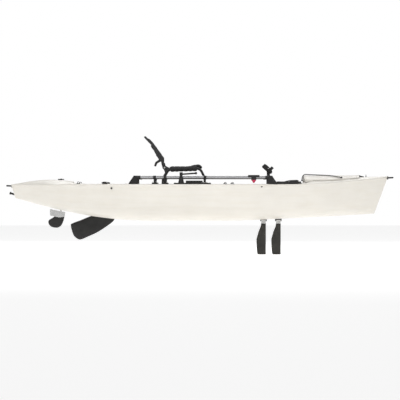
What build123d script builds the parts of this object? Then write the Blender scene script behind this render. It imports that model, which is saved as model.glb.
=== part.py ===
"""Sit-on-top pedal kayak: hull, hatches, rails, seat, steering, rudder, skeg and fin drive.

Millimetres. +X points to the bow, +Y to port and +Z up. The origin lies amidships on the
flat strip of the hull's bottom.
"""
import math
import os

from build123d import *

# ---- hull
HULL_LENGTH = 3652.0
HULL_BEAM = 914.0
HULL_WALL = 6.0
SHEER_Z = 348.0          # height of the gunwale's outer edge amidships
CAMBER = 14.0            # rise of the deck from its edge to the middle
STERN_KEEL_Z = 221.0     # keel height at the stern
BOW_KEEL_Z = 70.0        # keel height at the foot of the stem
BOW_RISE = 72.0          # rise of the sheer towards the bow
KEEL_SINK = 1.5          # depth that the round bottom loses to the flat strip
FLOOR_Z = 135.0          # cockpit floor
CARGO_FLOOR_Z = 205.0
LID_STEP = 60.0          # rise of the bow deck that carries the hatch

# ---- clearances
SEAT_GAP = 0.3           # between pieces that rest on each other
RUN_FIT = 0.05           # radial play of a turning pin
SIDE_PLAY = 0.5          # play beside a turning piece

# ---- rails and seat
RAIL_Y = 385.0
RAIL_Z = 417.0
RAIL_D = 26.0
RAIL_WALL = 2.5
RAIL_X = (-594.0, 659.0)
SEAT_HALF = 215.0        # from the middle to the seat's side tubes
SEAT_TUBE_D = 22.0
SEAT_TUBE_WALL = 2.0
PAN_Z = 503.0            # middle of the seat pan's side tubes
PAN_X = (-300.0, 5.0)
BACK_PIVOT = (-338.0, 512.0)
BACK_TOP = (-524.0, 806.0)
SEAT_PIN_R = 4.0

# ---- drive
DRIVE_X = 693.0          # middle between the two fin masts
MAST_SPACING = 144.0
FIN_AXIS_Z = 3.0
FIN_LENGTH = 302.0       # below the sockets
FIN_ROOT_Z = -27.0
FIN_T = 9.0
MAST_D = 9.0
DRUM_R = 13.0
DRUM_LENGTH = 44.0
DRUM_PIN_R = 4.0
WELL_HALF = 36.0         # half the width of the drive well
HOUSING_HALF = 26.0
CRANK_Z = 235.0
CRANK_X = 690.0
CRANK_PIN_R = 9.0
CHAIN_DRUM_R = 15.0
ARM_LENGTH = 271.0
ARM_T = 12.0
PEDAL_PIN_R = 5.0
PEDAL_W = 96.0
PEDAL_L = 108.0
PEDAL_TILT = 41.0

# ---- steering, rudder and skeg
STEER_X = -176.0
STEER_Y = -408.0
STEER_PIN_R = 6.0
HANDLE_Z = 445.0
HANDLE_LENGTH = 150.0
RUDDER_X = -1345.0
STOCK_R = 8.0
STOCK_TUBE_R = 13.0
RUDDER_PIN_R = 4.0
RUDDER_T = 12.0
RUDDER_EYE_R = 22.0
SKEG_T = 12.0
SKEG_PIN_R = 5.0
SKEG_PIVOT = (-836.0, 60.0)

# ---- fittings
CART_R = 19.0            # bore that takes a cart's post
CART_X = -250.0
CART_Y = 175.0
ROD_R = 21.0             # bore of a flush rod holder
ROD_WALL = 3.0
ROD_DEPTH = 205.0        # depth of the hull's socket below the gunwale
ROD_X = -909.0
ROD_TILT = 18.0
ROD_LIP = 14.0
LID_X = (1010.0, 1545.0)
LID_T = 12.0
LID_SHIFT = 95.0         # distance that the lid's top is the deck's own form moved aft
GASKET_T = 3.0
HINGE_PIN_R = 2.5

HALF_LENGTH = HULL_LENGTH / 2
HALF_BEAM = HULL_BEAM / 2
FLAT_AFT = -0.26         # ends of the flat strip, as shares of the half length
FLAT_FORE = 0.18
WIDEST = -0.03
BOTTOM_Z = 0.0


# ------------------------------------------------------------------ hull lines
def keel_z(x):
    """Height of the keel line above the flat strip."""
    f = x / HALF_LENGTH
    if f < FLAT_AFT:
        return STERN_KEEL_Z * ((FLAT_AFT - f) / (1 + FLAT_AFT)) ** 1.85
    if f > FLAT_FORE:
        return BOW_KEEL_Z * ((f - FLAT_FORE) / (1 - FLAT_FORE)) ** 1.08
    return 0.0


def half_beam(x):
    """Half the hull's width at the sheer."""
    f = x / HALF_LENGTH
    if f > WIDEST:
        u = min((f - WIDEST) / (1 - WIDEST), 1.0)
        return 11.0 + (HALF_BEAM - 11.0) * (1 - u**2.2) ** 0.9
    u = (WIDEST - f) / (1 + WIDEST)
    return HALF_BEAM * (1 - 0.92 * u**2.4)


def sheer_z(x):
    """Height of the gunwale's outer edge."""
    start = 0.5 * HALF_LENGTH
    if x < start:
        return SHEER_Z
    return SHEER_Z + BOW_RISE * ((x - start) / (HALF_LENGTH - start)) ** 1.3


def deck_z(x):
    """Height of the deck's middle line, with the raised bow and stern decks."""
    f = x / HALF_LENGTH
    top = sheer_z(x) + CAMBER
    if f < -0.6:
        hump = math.cos(math.pi / 2 * min(abs(f + 0.8) / 0.2, 1.0)) ** 1.2
        top = SHEER_Z + CAMBER * (1 + f) / 0.4 + 4.0 + 38.0 * hump
    start = LID_X[0] / HALF_LENGTH - 0.012
    step = min(max((f - start) / 0.06, 0.0), 1.0)
    rise = step * step * (3 - 2 * step)
    fade = min(max((f - start) / (1 - start), 0.0), 1.0)
    return top + (LID_STEP * (1 - fade) - 4.0 * fade) * rise


def rake(x):
    """Slope of a section plane: upright amidships, along the transom and the stem."""
    f = x / HALF_LENGTH
    if f < -0.5:
        return -0.30 * ((-f - 0.5) / 0.5) ** 1.5
    if f > 0.6:
        return 0.37 * ((f - 0.6) / 0.4) ** 1.5
    return 0.0


def section(x, inset):
    """Closed hull section: a rounded bottom up to the sheer, and an arc over the deck."""
    half = half_beam(x) - inset
    keel = keel_z(x) - KEEL_SINK + inset
    edge = sheer_z(x)
    crown = deck_z(x) - inset
    fullness = 1.7 + 1.5 * half / HALF_BEAM
    steps = 4

    def place(y, z):
        return Vector(x + rake(x) * (z - edge), y, z)

    points = []
    for i in range(-steps, steps + 1):
        turn = math.pi / 2 * i / steps
        y = half * math.copysign(abs(math.sin(turn)) ** (2 / fullness), turn)
        z = edge - (edge - keel) * abs(math.cos(turn)) ** (2 / fullness)
        points.append(place(y, z))
    bottom = Spline(*points)
    deck = ThreePointArc(place(half, edge), place(0, crown), place(-half, edge))
    return Wire([bottom.edge(), deck.edge()])


STATION_SHARES = (-1, -0.9, -0.8, -0.7, -0.6, -0.45, -0.25, 0, 0.2, 0.4)
STATION_SHARES += (0.54, 0.57, 0.6, 0.7, 0.8, 0.9, 0.96, 1)


def hull_form(inset=0.0):
    """Solid inside the hull's lines, drawn in by an inset."""
    reach = HALF_LENGTH - 2 * inset
    form = Solid.make_loft([section(share * reach, inset) for share in STATION_SHARES], ruled=True)
    base = BOTTOM_Z + inset
    size = 2 * HULL_LENGTH
    keep = Pos(0, 0, base + size / 2) * Box(size, size, size)
    return form & keep


# ------------------------------------------------------------------ small helpers
def prism(points, low, high, radius=0.0, grow=0.0):
    """Upright prism over a plan outline with rounded corners."""
    face = make_face(Polyline(*points, close=True))
    if radius:
        face = fillet(face.vertices(), radius)
    if grow:
        face = offset(face, grow, kind=Kind.ARC)
    return Pos(0, 0, low) * extrude(face, high - low, dir=(0, 0, 1))


def side_plate(points, y_low, y_high, radius=0.0, grow=0.0):
    """Plate drawn as an outline in X and Z and given its width along Y."""
    face = make_face(Polyline(*points, close=True))
    if radius:
        face = fillet(face.vertices(), radius)
    if grow:
        face = offset(face, grow, kind=Kind.ARC)
    plate = extrude(face, y_high - y_low, dir=(0, 0, 1))
    return Pos(0, y_high, 0) * Rot(90, 0, 0) * plate


def rod_x(x_low, x_high, y, z, radius):
    return Pos((x_low + x_high) / 2, y, z) * Rot(0, 90, 0) * Cylinder(radius, x_high - x_low)


def rod_y(x, y_low, y_high, z, radius):
    return Pos(x, (y_low + y_high) / 2, z) * Rot(90, 0, 0) * Cylinder(radius, y_high - y_low)


def rod_z(x, y, z_low, z_high, radius):
    return Pos(x, y, (z_low + z_high) / 2) * Cylinder(radius, z_high - z_low)


def block(x_low, x_high, y_low, y_high, z_low, z_high, edge=0.0):
    """Box between its limits, with rounded upright edges."""
    middle = ((x_low + x_high) / 2, (y_low + y_high) / 2, (z_low + z_high) / 2)
    body = Pos(*middle) * Box(x_high - x_low, y_high - y_low, z_high - z_low)
    if edge:
        body = fillet(body.edges().filter_by(Axis.Z), edge)
    return body


def bent_tube(points, radii, diameter, wall=0.0):
    """Round tube along straight runs joined by arcs."""
    path = FilletPolyline(*points, radius=radii) if radii else Line(*points)
    start = Plane(origin=path @ 0, z_dir=path % 0)
    ring = start * Circle(diameter / 2)
    if wall:
        ring -= start * Circle(diameter / 2 - wall)
    return sweep(ring, path=path)


def mirror_y(shape):
    return mirror(shape, about=Plane.XZ)


def both_sides(shape):
    return [shape, mirror_y(shape)]


def solids_of(shapes):
    """Flat list of the solids in a shape or a list of shapes."""
    if isinstance(shapes, (list, tuple)):
        return [solid for shape in shapes for solid in solids_of(shape)]
    return list(shapes.solids())


def save(name, shapes):
    solids = solids_of(shapes)
    whole = solids[0] if len(solids) == 1 else Compound(children=solids)
    export_step(whole, f"parts/{name}.step")


# ------------------------------------------------------------------ wells and holes
COCKPIT = ((-650, 318), (360, 318), (700, 296), (985, 215))
CARGO = ((-1225, 215), (-720, 262))
FLOOR_HATCH = (130.0, 400.0, 105.0)


def mirrored(points):
    """Whole outline from the port half."""
    return list(points) + [(x, -y) for x, y in reversed(points)]


def cockpit_well(grow=0.0):
    return prism(mirrored(COCKPIT), FLOOR_Z - grow, 700.0, 60.0, grow)


def cargo_well(grow=0.0):
    return prism(mirrored(CARGO), CARGO_FLOOR_Z - grow, 700.0, 50.0, grow)


def drive_well(grow=0.0):
    half = MAST_SPACING / 2 + 58.0
    outline = mirrored(((DRIVE_X - half, WELL_HALF), (DRIVE_X + half, WELL_HALF)))
    return prism(outline, -60.0, FLOOR_Z + 1.0, 18.0, grow)


SKEG_TRUNK = ((-1290, 20), (-760, 0), (-760, 96), (-1290, 172))


def skeg_trunk(grow=0.0):
    half = SKEG_T / 2 + 1.5 + grow
    outline = [(x, z if z > 50 else -60) for x, z in SKEG_TRUNK]
    return side_plate(outline, -half, half, 14.0, grow)


def rudder_tube(grow=0.0):
    return rod_z(RUDDER_X, 0, -20, 600, STOCK_TUBE_R + grow)


def cart_bores(grow=0.0):
    return both_sides(rod_z(CART_X, CART_Y, -30, FLOOR_Z + 10, CART_R + grow))


def scuppers(grow=0.0):
    """Drain holes: a pair in the cockpit and a pair in the cargo well."""
    holes = both_sides(rod_z(420, 205, -30, FLOOR_Z + 10, 13 + grow))
    return holes + both_sides(rod_z(-960, 150, -30, CARGO_FLOOR_Z + 10, 13 + grow))


def rod_well(side, radius, bottom, top):
    """Cylinder on the axis of a flush rod holder, between two distances along it."""
    return rod_place(side) * Pos(0, 0, (bottom + top) / 2) * Cylinder(radius, top - bottom)


def rod_place(side):
    y = side * (half_beam(ROD_X) - 42.0)
    z = SHEER_Z + 6.0
    return Pos(ROD_X, y, z) * Rot(-side * ROD_TILT, 0, 0)


def bow_opening(grow=0.0):
    inset = 55.0
    low, high = LID_X[0] + 45.0, LID_X[1] - 70.0
    points = mirrored(((low, half_beam(low) - inset - 40), (high, half_beam(high) - inset)))
    return prism(points, 250.0, 700.0, 30.0, grow)


def drain_place():
    return Pos(-HALF_LENGTH + 34, 0, STERN_KEEL_Z + 32) * Rot(0, -90, 0) * Rot(0, 16.7, 0)


def drain_bore(grow=0.0):
    return drain_place() * Cylinder(9.5 + grow, 60)


def floor_hatch_cut():
    low, high, half = FLOOR_HATCH
    return block(low, high, -half, half, FLOOR_Z - 30, FLOOR_Z + 20, 20)


def make_hull(outer):
    """Hollow moulded shell with its wells, tubes and openings."""
    lined = [cockpit_well, cargo_well, drive_well, skeg_trunk, rudder_tube, cart_bores, scuppers]
    pivot_x, pivot_z = SKEG_PIVOT
    liners = [well(HULL_WALL) for well in lined]
    wall = ROD_WALL
    liners += [rod_well(side, ROD_R + wall + HULL_WALL, -ROD_DEPTH - HULL_WALL, 6) for side in (-1, 1)]
    liners += [drain_bore(5.0), rod_y(pivot_x, -26, 26, pivot_z, SKEG_PIN_R + 8)]
    cavity = hull_form(HULL_WALL).solids()[0].cut(*solids_of(liners))
    holes = [well() for well in lined]
    holes += [rod_well(side, ROD_R + wall, -ROD_DEPTH, 30) for side in (-1, 1)]
    holes += [drain_bore(), bow_opening(), floor_hatch_cut()]
    holes += [rod_y(pivot_x, -20, 20, pivot_z, SKEG_PIN_R + RUN_FIT)]
    holes += [rod_z(STEER_X, STEER_Y, SHEER_Z - 60, SHEER_Z + 40, STEER_PIN_R + 3)]
    shell = outer.solids()[0].cut(*cavity.solids())
    return shell.solids()[0].cut(*solids_of(holes))


# ------------------------------------------------------------------ hull fittings
def end_handle(x, z, direction):
    """Short loop grip on a tip of the hull, with a plate that seats on the hull."""
    reach = 46.0 * direction
    inner = x - 6.0 * direction
    grip = bent_tube(
        [(inner, -17, z), (x + reach, -15, z + 2), (x + reach, 15, z + 2), (inner, 17, z)],
        [11, 11],
        15.0,
    )
    plate = block(min(x, inner), max(x, inner), -27, 27, z - 17, z + 17)
    return grip + plate


def make_end_handles(outer):
    gap = outer.solids()[0]
    bow_x = HALF_LENGTH + 4.0
    stern_x = -HALF_LENGTH + 2.0
    bow = end_handle(bow_x, sheer_z(HALF_LENGTH) - 5.0, 1).cut(gap)
    stern = end_handle(stern_x, SHEER_Z - 12.0, -1).cut(gap)
    return [max(grip.solids(), key=lambda s: s.volume) for grip in (bow, stern)]


def make_drain_plug():
    """Threaded plug's plain body, flange and finger bar."""
    body = Pos(0, 0, 22) * Cylinder(9.5 - RUN_FIT, 40)
    flange = Pos(0, 0, 44.5) * Cylinder(15, 5)
    bar = Pos(0, 0, 50) * Box(24, 5, 8)
    return drain_place() * (body + flange + bar)


def rail(side):
    """Twelve-sided extruded tube."""
    middle = (RAIL_X[0] + RAIL_X[1]) / 2
    length = RAIL_X[1] - RAIL_X[0]
    profile = RegularPolygon(RAIL_D / 2, 12) - Circle(RAIL_D / 2 - RAIL_WALL)
    bar = extrude(Plane.YZ * profile, length / 2, both=True)
    return Pos(middle, side * RAIL_Y, RAIL_Z) * bar


def deck_edge_z(x, y):
    """Height of the deck's surface, an arc from gunwale to gunwale."""
    half = half_beam(x)
    rise = deck_z(x) - sheer_z(x)
    radius = (half**2 + rise**2) / (2 * rise)
    return deck_z(x) - radius + math.sqrt(radius**2 - min(abs(y), half) ** 2)


def seat_z(x, y):
    """Height at which a flat foot rests on the deck, from its inner edge."""
    return deck_edge_z(x, y) + SEAT_GAP


def rail_end(x, reach, side):
    """Sloping foot that caps a rail's end; reach is signed along X."""
    base = max(seat_z(x, RAIL_Y - 16.0), seat_z(x + reach, RAIL_Y - 16.0)) + 0.2
    top = RAIL_Z + RAIL_D / 2 + 3
    outline = [(x, top), (x, base), (x + reach, base), (x + reach, base + 9), (x + reach * 0.42, top)]
    low = side * RAIL_Y - 16.0
    body = side_plate(outline, low, low + 32.0)
    step = math.copysign(1.0, reach)
    collar = rod_x(min(x, x - 30 * step), max(x, x - 30 * step), side * RAIL_Y, RAIL_Z, RAIL_D / 2 + 3.2)
    hole = rod_x(min(x, x - 31 * step), max(x, x - 31 * step), side * RAIL_Y, RAIL_Z, RAIL_D / 2 + SEAT_GAP)
    return body + collar - hole


def rail_post(x, side):
    """Post between the gunwale and the rail, with a saddle round the rail and a foot."""
    y = side * RAIL_Y
    base = seat_z(x, RAIL_Y - 15.0)
    post = block(x - 9, x + 9, y - 11, y + 11, base, RAIL_Z, 4)
    foot = block(x - 26, x + 26, y - 15, y + 15, base, base + 15, 6)
    saddle = rod_x(x - 14, x + 14, y, RAIL_Z, RAIL_D / 2 + 3.2)
    hole = rod_x(x - 15, x + 15, y, RAIL_Z, RAIL_D / 2 + SEAT_GAP)
    return post + foot + saddle - hole


def cut_back(shape, tool, lift=SEAT_GAP):
    """Piece cut back so that it seats just above the hull's surface."""
    pieces = shape.solids()[0].cut(Pos(0, 0, lift) * tool.solids()[0])
    return max(pieces.solids(), key=lambda solid: solid.volume)


CLAMP_X = 519.0


def make_rail_clamp():
    """Clamp on the starboard rail: a long cap over it and two cheeks that hold a nut."""
    y = -RAIL_Y
    half = RAIL_D / 2
    cap = block(CLAMP_X - 55, CLAMP_X + 55, y - 19, y + 19, RAIL_Z - half - 12, RAIL_Z + half + 9, 6)
    bore = rod_x(CLAMP_X - 60, CLAMP_X + 60, y, RAIL_Z, half + SEAT_GAP)
    below = block(CLAMP_X - 60, CLAMP_X - 24, y - 30, y + 30, RAIL_Z - 60, RAIL_Z + 2)
    above = block(CLAMP_X + 24, CLAMP_X + 60, y - 30, y + 30, RAIL_Z - 60, RAIL_Z + 2)
    hole = rod_z(CLAMP_X, y, RAIL_Z - 60, RAIL_Z, 4 + RUN_FIT)
    return cap - bore - below - above - hole


def make_clamp_screw():
    """Tapered thumb screw under the clamp."""
    top = RAIL_Z - RAIL_D / 2 - 12 - SIDE_PLAY
    tip = top - 28
    cone = Pos(CLAMP_X, -RAIL_Y, (top + tip) / 2) * Cone(5, 24, top - tip)
    shank = rod_z(CLAMP_X, -RAIL_Y, top - 1, top + 11, 4)
    return cone + shank


# ------------------------------------------------------------------ steering
def make_steering_base():
    """Pedestal on the gunwale with a bore for the steering shaft."""
    x, y = STEER_X, STEER_Y
    base = seat_z(x, y + 24) - 0.9
    foot = block(x - 70, x + 285, y - 24, y + 6, base, base + 13, 5)
    cone = Pos(x, y, (base + HANDLE_Z - 14) / 2) * Cone(31, 14, HANDLE_Z - 14 - base)
    cone -= block(x - 40, x + 40, y + 6, y + 40, base - 1, HANDLE_Z)
    front = block(x + 45, x + 205, y - 20, y + 5, base, base + 34, 5)
    bore = rod_z(x, y, base - 50, HANDLE_Z, STEER_PIN_R + RUN_FIT)
    return foot + cone + front - bore


def make_steering_handle():
    """Lever with a ball end on a shaft that goes down through the pedestal."""
    x, y = STEER_X, STEER_Y
    z = HANDLE_Z
    base = z - 14 + SIDE_PLAY
    hub = rod_z(x, y, base, z + 20, 15)
    lever = Pos(x + HANDLE_LENGTH / 2, y, z + 6) * Rot(0, -4, 0) * Box(HANDLE_LENGTH - 8, 13, 15)
    lever = fillet(lever.edges().filter_by(Axis.Y), 6)
    ball = Pos(x + HANDLE_LENGTH - 8, y, z + 11) * Sphere(12)
    shaft = rod_z(x, y, SHEER_Z - 70, base + 1, STEER_PIN_R)
    return hub + lever + ball + shaft


def make_steering_drum():
    """Cord drum on the lower end of the steering shaft, under the gunwale."""
    z = SHEER_Z - 58
    drum = rod_z(STEER_X, STEER_Y, z - 7, z + 7, 17)
    return drum - rod_z(STEER_X, STEER_Y, z - 8, z + 8, STEER_PIN_R)


# ------------------------------------------------------------------ rudder
HEAD_LOW = 52.0


def bottom_line(x, gap):
    return keel_z(x) - gap


def make_rudder_stock():
    """Upright shaft with a forked head whose top follows the hull's bottom."""
    x = RUDDER_X
    top = deck_z(x) + 14
    shaft = rod_z(x, 0, bottom_line(x, 12), top, STOCK_R)
    aft, fore = x - 108.0, x + 42.0
    px, pz = rudder_pivot()
    outline = [(aft, bottom_line(aft, 9)), (fore, bottom_line(fore, 8)), (fore - 6, pz - 14), (x - 14, pz - 22)]
    outline.append((aft + 2, pz - 2))
    half = RUDDER_T / 2 + 6.5
    head = side_plate(outline, -half, half, 6)
    gap = RUDDER_T / 2 + SIDE_PLAY
    slot = rod_y(px, -gap, gap, pz, RUDDER_EYE_R + 3)
    slot += side_plate([(px + 30, pz - 60), (px + 30, pz - 4), (px + 10, pz + 20), (px - 21, pz + 42)]
                       + [(px - 150, pz + 72), (px - 150, pz - 60)], -gap, gap)
    return shaft + head - slot - rod_y(px, -30, 30, pz, RUDDER_PIN_R + RUN_FIT)


def rudder_pivot():
    return RUDDER_X + 12, HEAD_LOW


def make_rudder_blade():
    """Blade that hangs from the head and kicks up aft."""
    x, z = rudder_pivot()
    outline = [(x + 22, z - 8), (x + 12, z - 52), (x - 6, z - 96), (x - 50, z - 122), (x - 100, z - 116)]
    outline += [(x - 134, z - 84), (x - 132, z - 50), (x - 46, z + 8), (x - 8, z + 14)]
    half = RUDDER_T / 2
    blade = side_plate(outline, -half, half, 7)
    eye = rod_y(x, -half, half, z, RUDDER_EYE_R)
    return blade + eye - rod_y(x, -half - 1, half + 1, z, RUDDER_PIN_R + RUN_FIT)


def make_rudder_pin():
    half = RUDDER_T / 2 + 6.5
    px, pz = rudder_pivot()
    return rod_y(px, -half - 2, half + 2, pz, RUDDER_PIN_R)


def make_rudder_bushes():
    """Flanged bushes at both ends of the stock's tube."""
    out = []
    bottom = keel_z(RUDDER_X) + 14
    top = deck_z(RUDDER_X)
    for low, high in ((bottom, bottom + 24), (top - 26, top - 2)):
        ring = rod_z(RUDDER_X, 0, low, high, STOCK_TUBE_R - 0.02)
        out.append(ring - rod_z(RUDDER_X, 0, low - 1, high + 1, STOCK_R + RUN_FIT))
    return out


def make_rudder_drum():
    """Cord drum on the stock's upper end, above the stern deck."""
    low = deck_z(RUDDER_X) + 2.0
    drum = rod_z(RUDDER_X, 0, low, low + 9, 30) - rod_z(RUDDER_X, 0, low - 1, low + 10, STOCK_R)
    return drum


# ------------------------------------------------------------------ skeg
def make_skeg_blade():
    px, pz = SKEG_PIVOT
    outline = [(px + 22, pz + 6), (px + 6, pz - 60), (-990, -113), (-1154, -184), (-1180, -178), (-1220, -146)]
    outline += [(-1245, -90), (-1252, -32), (-1060, 44), (px - 22, pz + 22)]
    half = SKEG_T / 2
    blade = side_plate(outline, -half, half, 7)
    return blade - rod_y(px, -half - 1, half + 1, pz, SKEG_PIN_R + 2 * RUN_FIT)


def make_skeg_pin():
    px, pz = SKEG_PIVOT
    return rod_y(px, -19.5, 19.5, pz, SKEG_PIN_R)


# ------------------------------------------------------------------ seat
def make_seat_base():
    """Welded tube frame: two bent side tubes, four cross tubes and hinge ears."""
    front, rear = PAN_X[1], PAN_X[0]
    tube = SEAT_TUBE_D
    foot_z = FLOOR_Z + tube / 2 + SEAT_GAP
    side = [(66, foot_z), (48, 420), (front, PAN_Z + 4)]
    side += [(rear, PAN_Z - 4), (rear - 52, 410), (rear - 66, foot_z)]
    frame = None
    for y in (-SEAT_HALF, SEAT_HALF):
        points = [(x, y, z) for x, z in side]
        piece = bent_tube(points, [90, 55, 50, 90], tube, SEAT_TUBE_WALL)
        frame = piece if frame is None else frame + piece
    crosses = [(66, foot_z), (rear - 66, foot_z), (front - 40, PAN_Z + 3), (rear + 45, PAN_Z - 3)]
    for x, z in crosses:
        frame += rod_y(x, -SEAT_HALF, SEAT_HALF, z, tube / 2)
    px, pz = BACK_PIVOT
    for side_sign in (-1, 1):
        y = side_sign * SEAT_HALF
        outline = [(px - 16, pz + 14), (px + 14, pz + 16), (rear + 30, PAN_Z - 4), (rear - 30, PAN_Z - 50)]
        ear = side_plate(outline, y - 4, y + 4, 4)
        frame += ear
    frame -= rod_y(px, -SEAT_HALF - 30, SEAT_HALF + 30, pz, SEAT_PIN_R + RUN_FIT)
    return frame


def back_point(along, lift=0.0):
    """Point in X and Z on the backrest's curved middle line, from pivot (0) to top (1)."""
    x0, z0 = BACK_PIVOT
    x1, z1 = BACK_TOP
    dx, dz = x1 - x0, z1 - z0
    length = math.hypot(dx, dz)
    bow = 26.0 * math.sin(math.pi * along) + lift
    return x0 + dx * along + bow * dz / length, z0 + dz * along - bow * dx / length


BACK_HALF = SEAT_HALF + 4 + SEAT_TUBE_D / 2 + 6


def make_seat_back():
    """Backrest hoop with hinge tabs outside the base's ears."""
    knots = [back_point(0.07), back_point(0.36), back_point(0.7), back_point(1.0)]
    half = BACK_HALF
    left = [(x, half, z) for x, z in knots]
    right = [(x, -half, z) for x, z in reversed(knots)]
    hoop = bent_tube(left + right, [180, 180, 60, 60, 180, 180], SEAT_TUBE_D, SEAT_TUBE_WALL)
    x, z = back_point(0.3, -16)
    hoop += rod_y(x, -half, half, z, 6)
    px, pz = BACK_PIVOT
    tx, tz = back_point(0.13)
    for side_sign in (-1, 1):
        low = side_sign * (SEAT_HALF + 4 + SIDE_PLAY + 3) - 3
        outline = [(px - 15, pz - 14), (px + 16, pz - 10), (tx + 14, tz + 8), (tx - 16, tz)]
        tab = side_plate(outline, low, low + 6, 4)
        hoop += tab
    hoop -= rod_y(px, -half - 30, half + 30, pz, SEAT_PIN_R + RUN_FIT)
    return hoop + lever_pin()


def make_seat_pins():
    px, pz = BACK_PIVOT
    start, end = SEAT_HALF - 10, SEAT_HALF + 16
    pin = rod_y(px, start, end, pz, SEAT_PIN_R) + rod_y(px, end, end + 4, pz, 8)
    return both_sides(pin)


def make_seat_lever():
    """Hooked recline lever on the starboard tab."""
    px, pz = back_point(0.2)
    y = -BACK_HALF - SEAT_TUBE_D / 2 - 7
    outline = [(px + 16, pz + 14), (px - 20, pz + 16), (px - 62, pz - 14)]
    outline += [(px - 76, pz - 52), (px - 56, pz - 58)]
    outline += [(px - 44, pz - 28), (px - 12, pz - 10), (px + 12, pz - 14)]
    return side_plate(outline, y - 4, y + 4, 5) - rod_y(px, y - 5, y + 5, pz, 4 + RUN_FIT)


def lever_pin():
    """Pin welded to the starboard side of the back hoop."""
    px, pz = back_point(0.2)
    reach = BACK_HALF + SEAT_TUBE_D / 2
    return rod_y(px, -reach - 14, -BACK_HALF, pz, 4)


def make_seat_pad():
    """Padded mesh seat between the side tubes, with a roll at its front edge."""
    low = PAN_Z - 2
    half = SEAT_HALF - SEAT_TUBE_D / 2 - SEAT_GAP
    top = PAN_Z + 20
    front = PAN_X[1] + 4
    outline = [(PAN_X[0] - 2, low + 16), (front - 80, low + 17), (front - 22, low + 16), (front + 18, low + 6)]
    outline += [(front + 28, low + 22), (front - 6, top + 10), (front - 60, top + 8)]
    outline += [(front - 120, top), (PAN_X[0] + 8, top)]
    return side_plate(outline, -half, half, 2.5)


def make_seat_back_pad():
    """Stretched mesh of the backrest, inside its hoop."""
    half = BACK_HALF - SEAT_TUBE_D / 2 - SEAT_GAP
    panel = None
    for reach, width in ((0.8, half), (0.93, half - 42)):
        shares = (0.17, 0.4, 0.65, reach)
        upper = [back_point(share, 6) for share in shares]
        lower = [back_point(share, -6) for share in reversed(shares)]
        piece = side_plate(upper + lower, -width, width)
        panel = piece if panel is None else panel + piece
    return panel


def make_seat_clips():
    """Floor clips that hold the seat's lower cross tubes."""
    clips = []
    radius = SEAT_TUBE_D / 2 + SEAT_GAP
    centre_z = FLOOR_Z + radius
    for x in (66, PAN_X[0] - 66):
        for y in (-SEAT_HALF + 50, SEAT_HALF - 50):
            base = block(x - 24, x + 24, y - 16, y + 16, FLOOR_Z, centre_z + 6, 4)
            base -= rod_y(x, y - 20, y + 20, centre_z, radius)
            clips.append(base - block(x - 8, x + 8, y - 20, y + 20, centre_z, centre_z + 10))
    return clips


# ------------------------------------------------------------------ pedal drive
def fin_x(index):
    return DRIVE_X + (index - 0.5) * MAST_SPACING


def make_housing():
    """Drive body in the well: flange on the floor, lower case, crank tower and drum lugs."""
    half = MAST_SPACING / 2 + 44.0
    x0, x1 = DRIVE_X - half, DRIVE_X + half
    low = keel_z(x0) + 2, keel_z(x1) + 2
    outline = [(x0, low[0]), (x1, low[1]), (x1, FLOOR_Z + 4), (x0, FLOOR_Z + 4)]
    case = side_plate(outline, -HOUSING_HALF, HOUSING_HALF, 8)
    flange = block(x0 - 34, x1 + 34, -WELL_HALF - 22, WELL_HALF + 22, FLOOR_Z + SEAT_GAP, FLOOR_Z + 11, 16)
    outline = [(CRANK_X - 62, FLOOR_Z + 6), (CRANK_X + 62, FLOOR_Z + 6), (CRANK_X + 32, CRANK_Z + 14)]
    outline += [(CRANK_X, CRANK_Z + 30), (CRANK_X - 32, CRANK_Z + 14)]
    tower = side_plate(outline, -HOUSING_HALF, HOUSING_HALF, 12)
    body = case + flange + tower
    wall = 5.0
    bottom, inner = low[1] + 24, HOUSING_HALF - wall
    outline = [(x0 + wall, bottom), (x1 - wall, bottom), (x1 - wall, FLOOR_Z), (x0 + wall, FLOOR_Z)]
    inside = side_plate(outline, -inner, inner)
    inside += block(CRANK_X - 34, CRANK_X + 34, -inner, inner, FLOOR_Z - 5, CRANK_Z + 22)
    body -= inside
    for index in (0, 1):
        x = fin_x(index)
        end = DRUM_LENGTH / 2 + SIDE_PLAY
        pocket_top = FIN_AXIS_Z + DRUM_R + 1.5
        for start, stop in ((x - end - 9, x - end), (x + end, x + end + 9)):
            body += rod_x(start, stop, 0, FIN_AXIS_Z, 9)
            body += block(start, stop, -9, 9, FIN_AXIS_Z, low[1] + 12)
        body -= block(x - end, x + end, -HOUSING_HALF - 1, HOUSING_HALF + 1, -40, pocket_top)
        body -= rod_x(x - end - 10, x + end + 10, 0, FIN_AXIS_Z, DRUM_PIN_R + RUN_FIT)
    body -= rod_y(CRANK_X, -HOUSING_HALF - 5, HOUSING_HALF + 5, CRANK_Z, CRANK_PIN_R + RUN_FIT)
    return body


def make_drum_pins():
    pins = []
    for index in (0, 1):
        reach = DRUM_LENGTH / 2 + SIDE_PLAY + 9
        pins.append(rod_x(fin_x(index) - reach, fin_x(index) + reach, 0, FIN_AXIS_Z, DRUM_PIN_R))
    return pins


def make_drum(index):
    """Fin drum with the flat socket that holds the mast."""
    x = fin_x(index)
    half = DRUM_LENGTH / 2
    drum = rod_x(x - half, x + half, 0, FIN_AXIS_Z, DRUM_R)
    drum += block(x - half, x + half, -8, 8, FIN_ROOT_Z, FIN_AXIS_Z)
    drum -= rod_x(x - half - 1, x + half + 1, 0, FIN_AXIS_Z, DRUM_PIN_R + RUN_FIT)
    mast_x = x + half - 8
    return drum - rod_z(mast_x, 0, FIN_ROOT_Z - 1, FIN_AXIS_Z - DRUM_PIN_R - 3, MAST_D / 2)


def make_mast(index):
    mast_x = fin_x(index) + DRUM_LENGTH / 2 - 8
    return rod_z(mast_x, 0, FIN_ROOT_Z - FIN_LENGTH + 22, FIN_AXIS_Z - DRUM_PIN_R - 3, MAST_D / 2)


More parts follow.
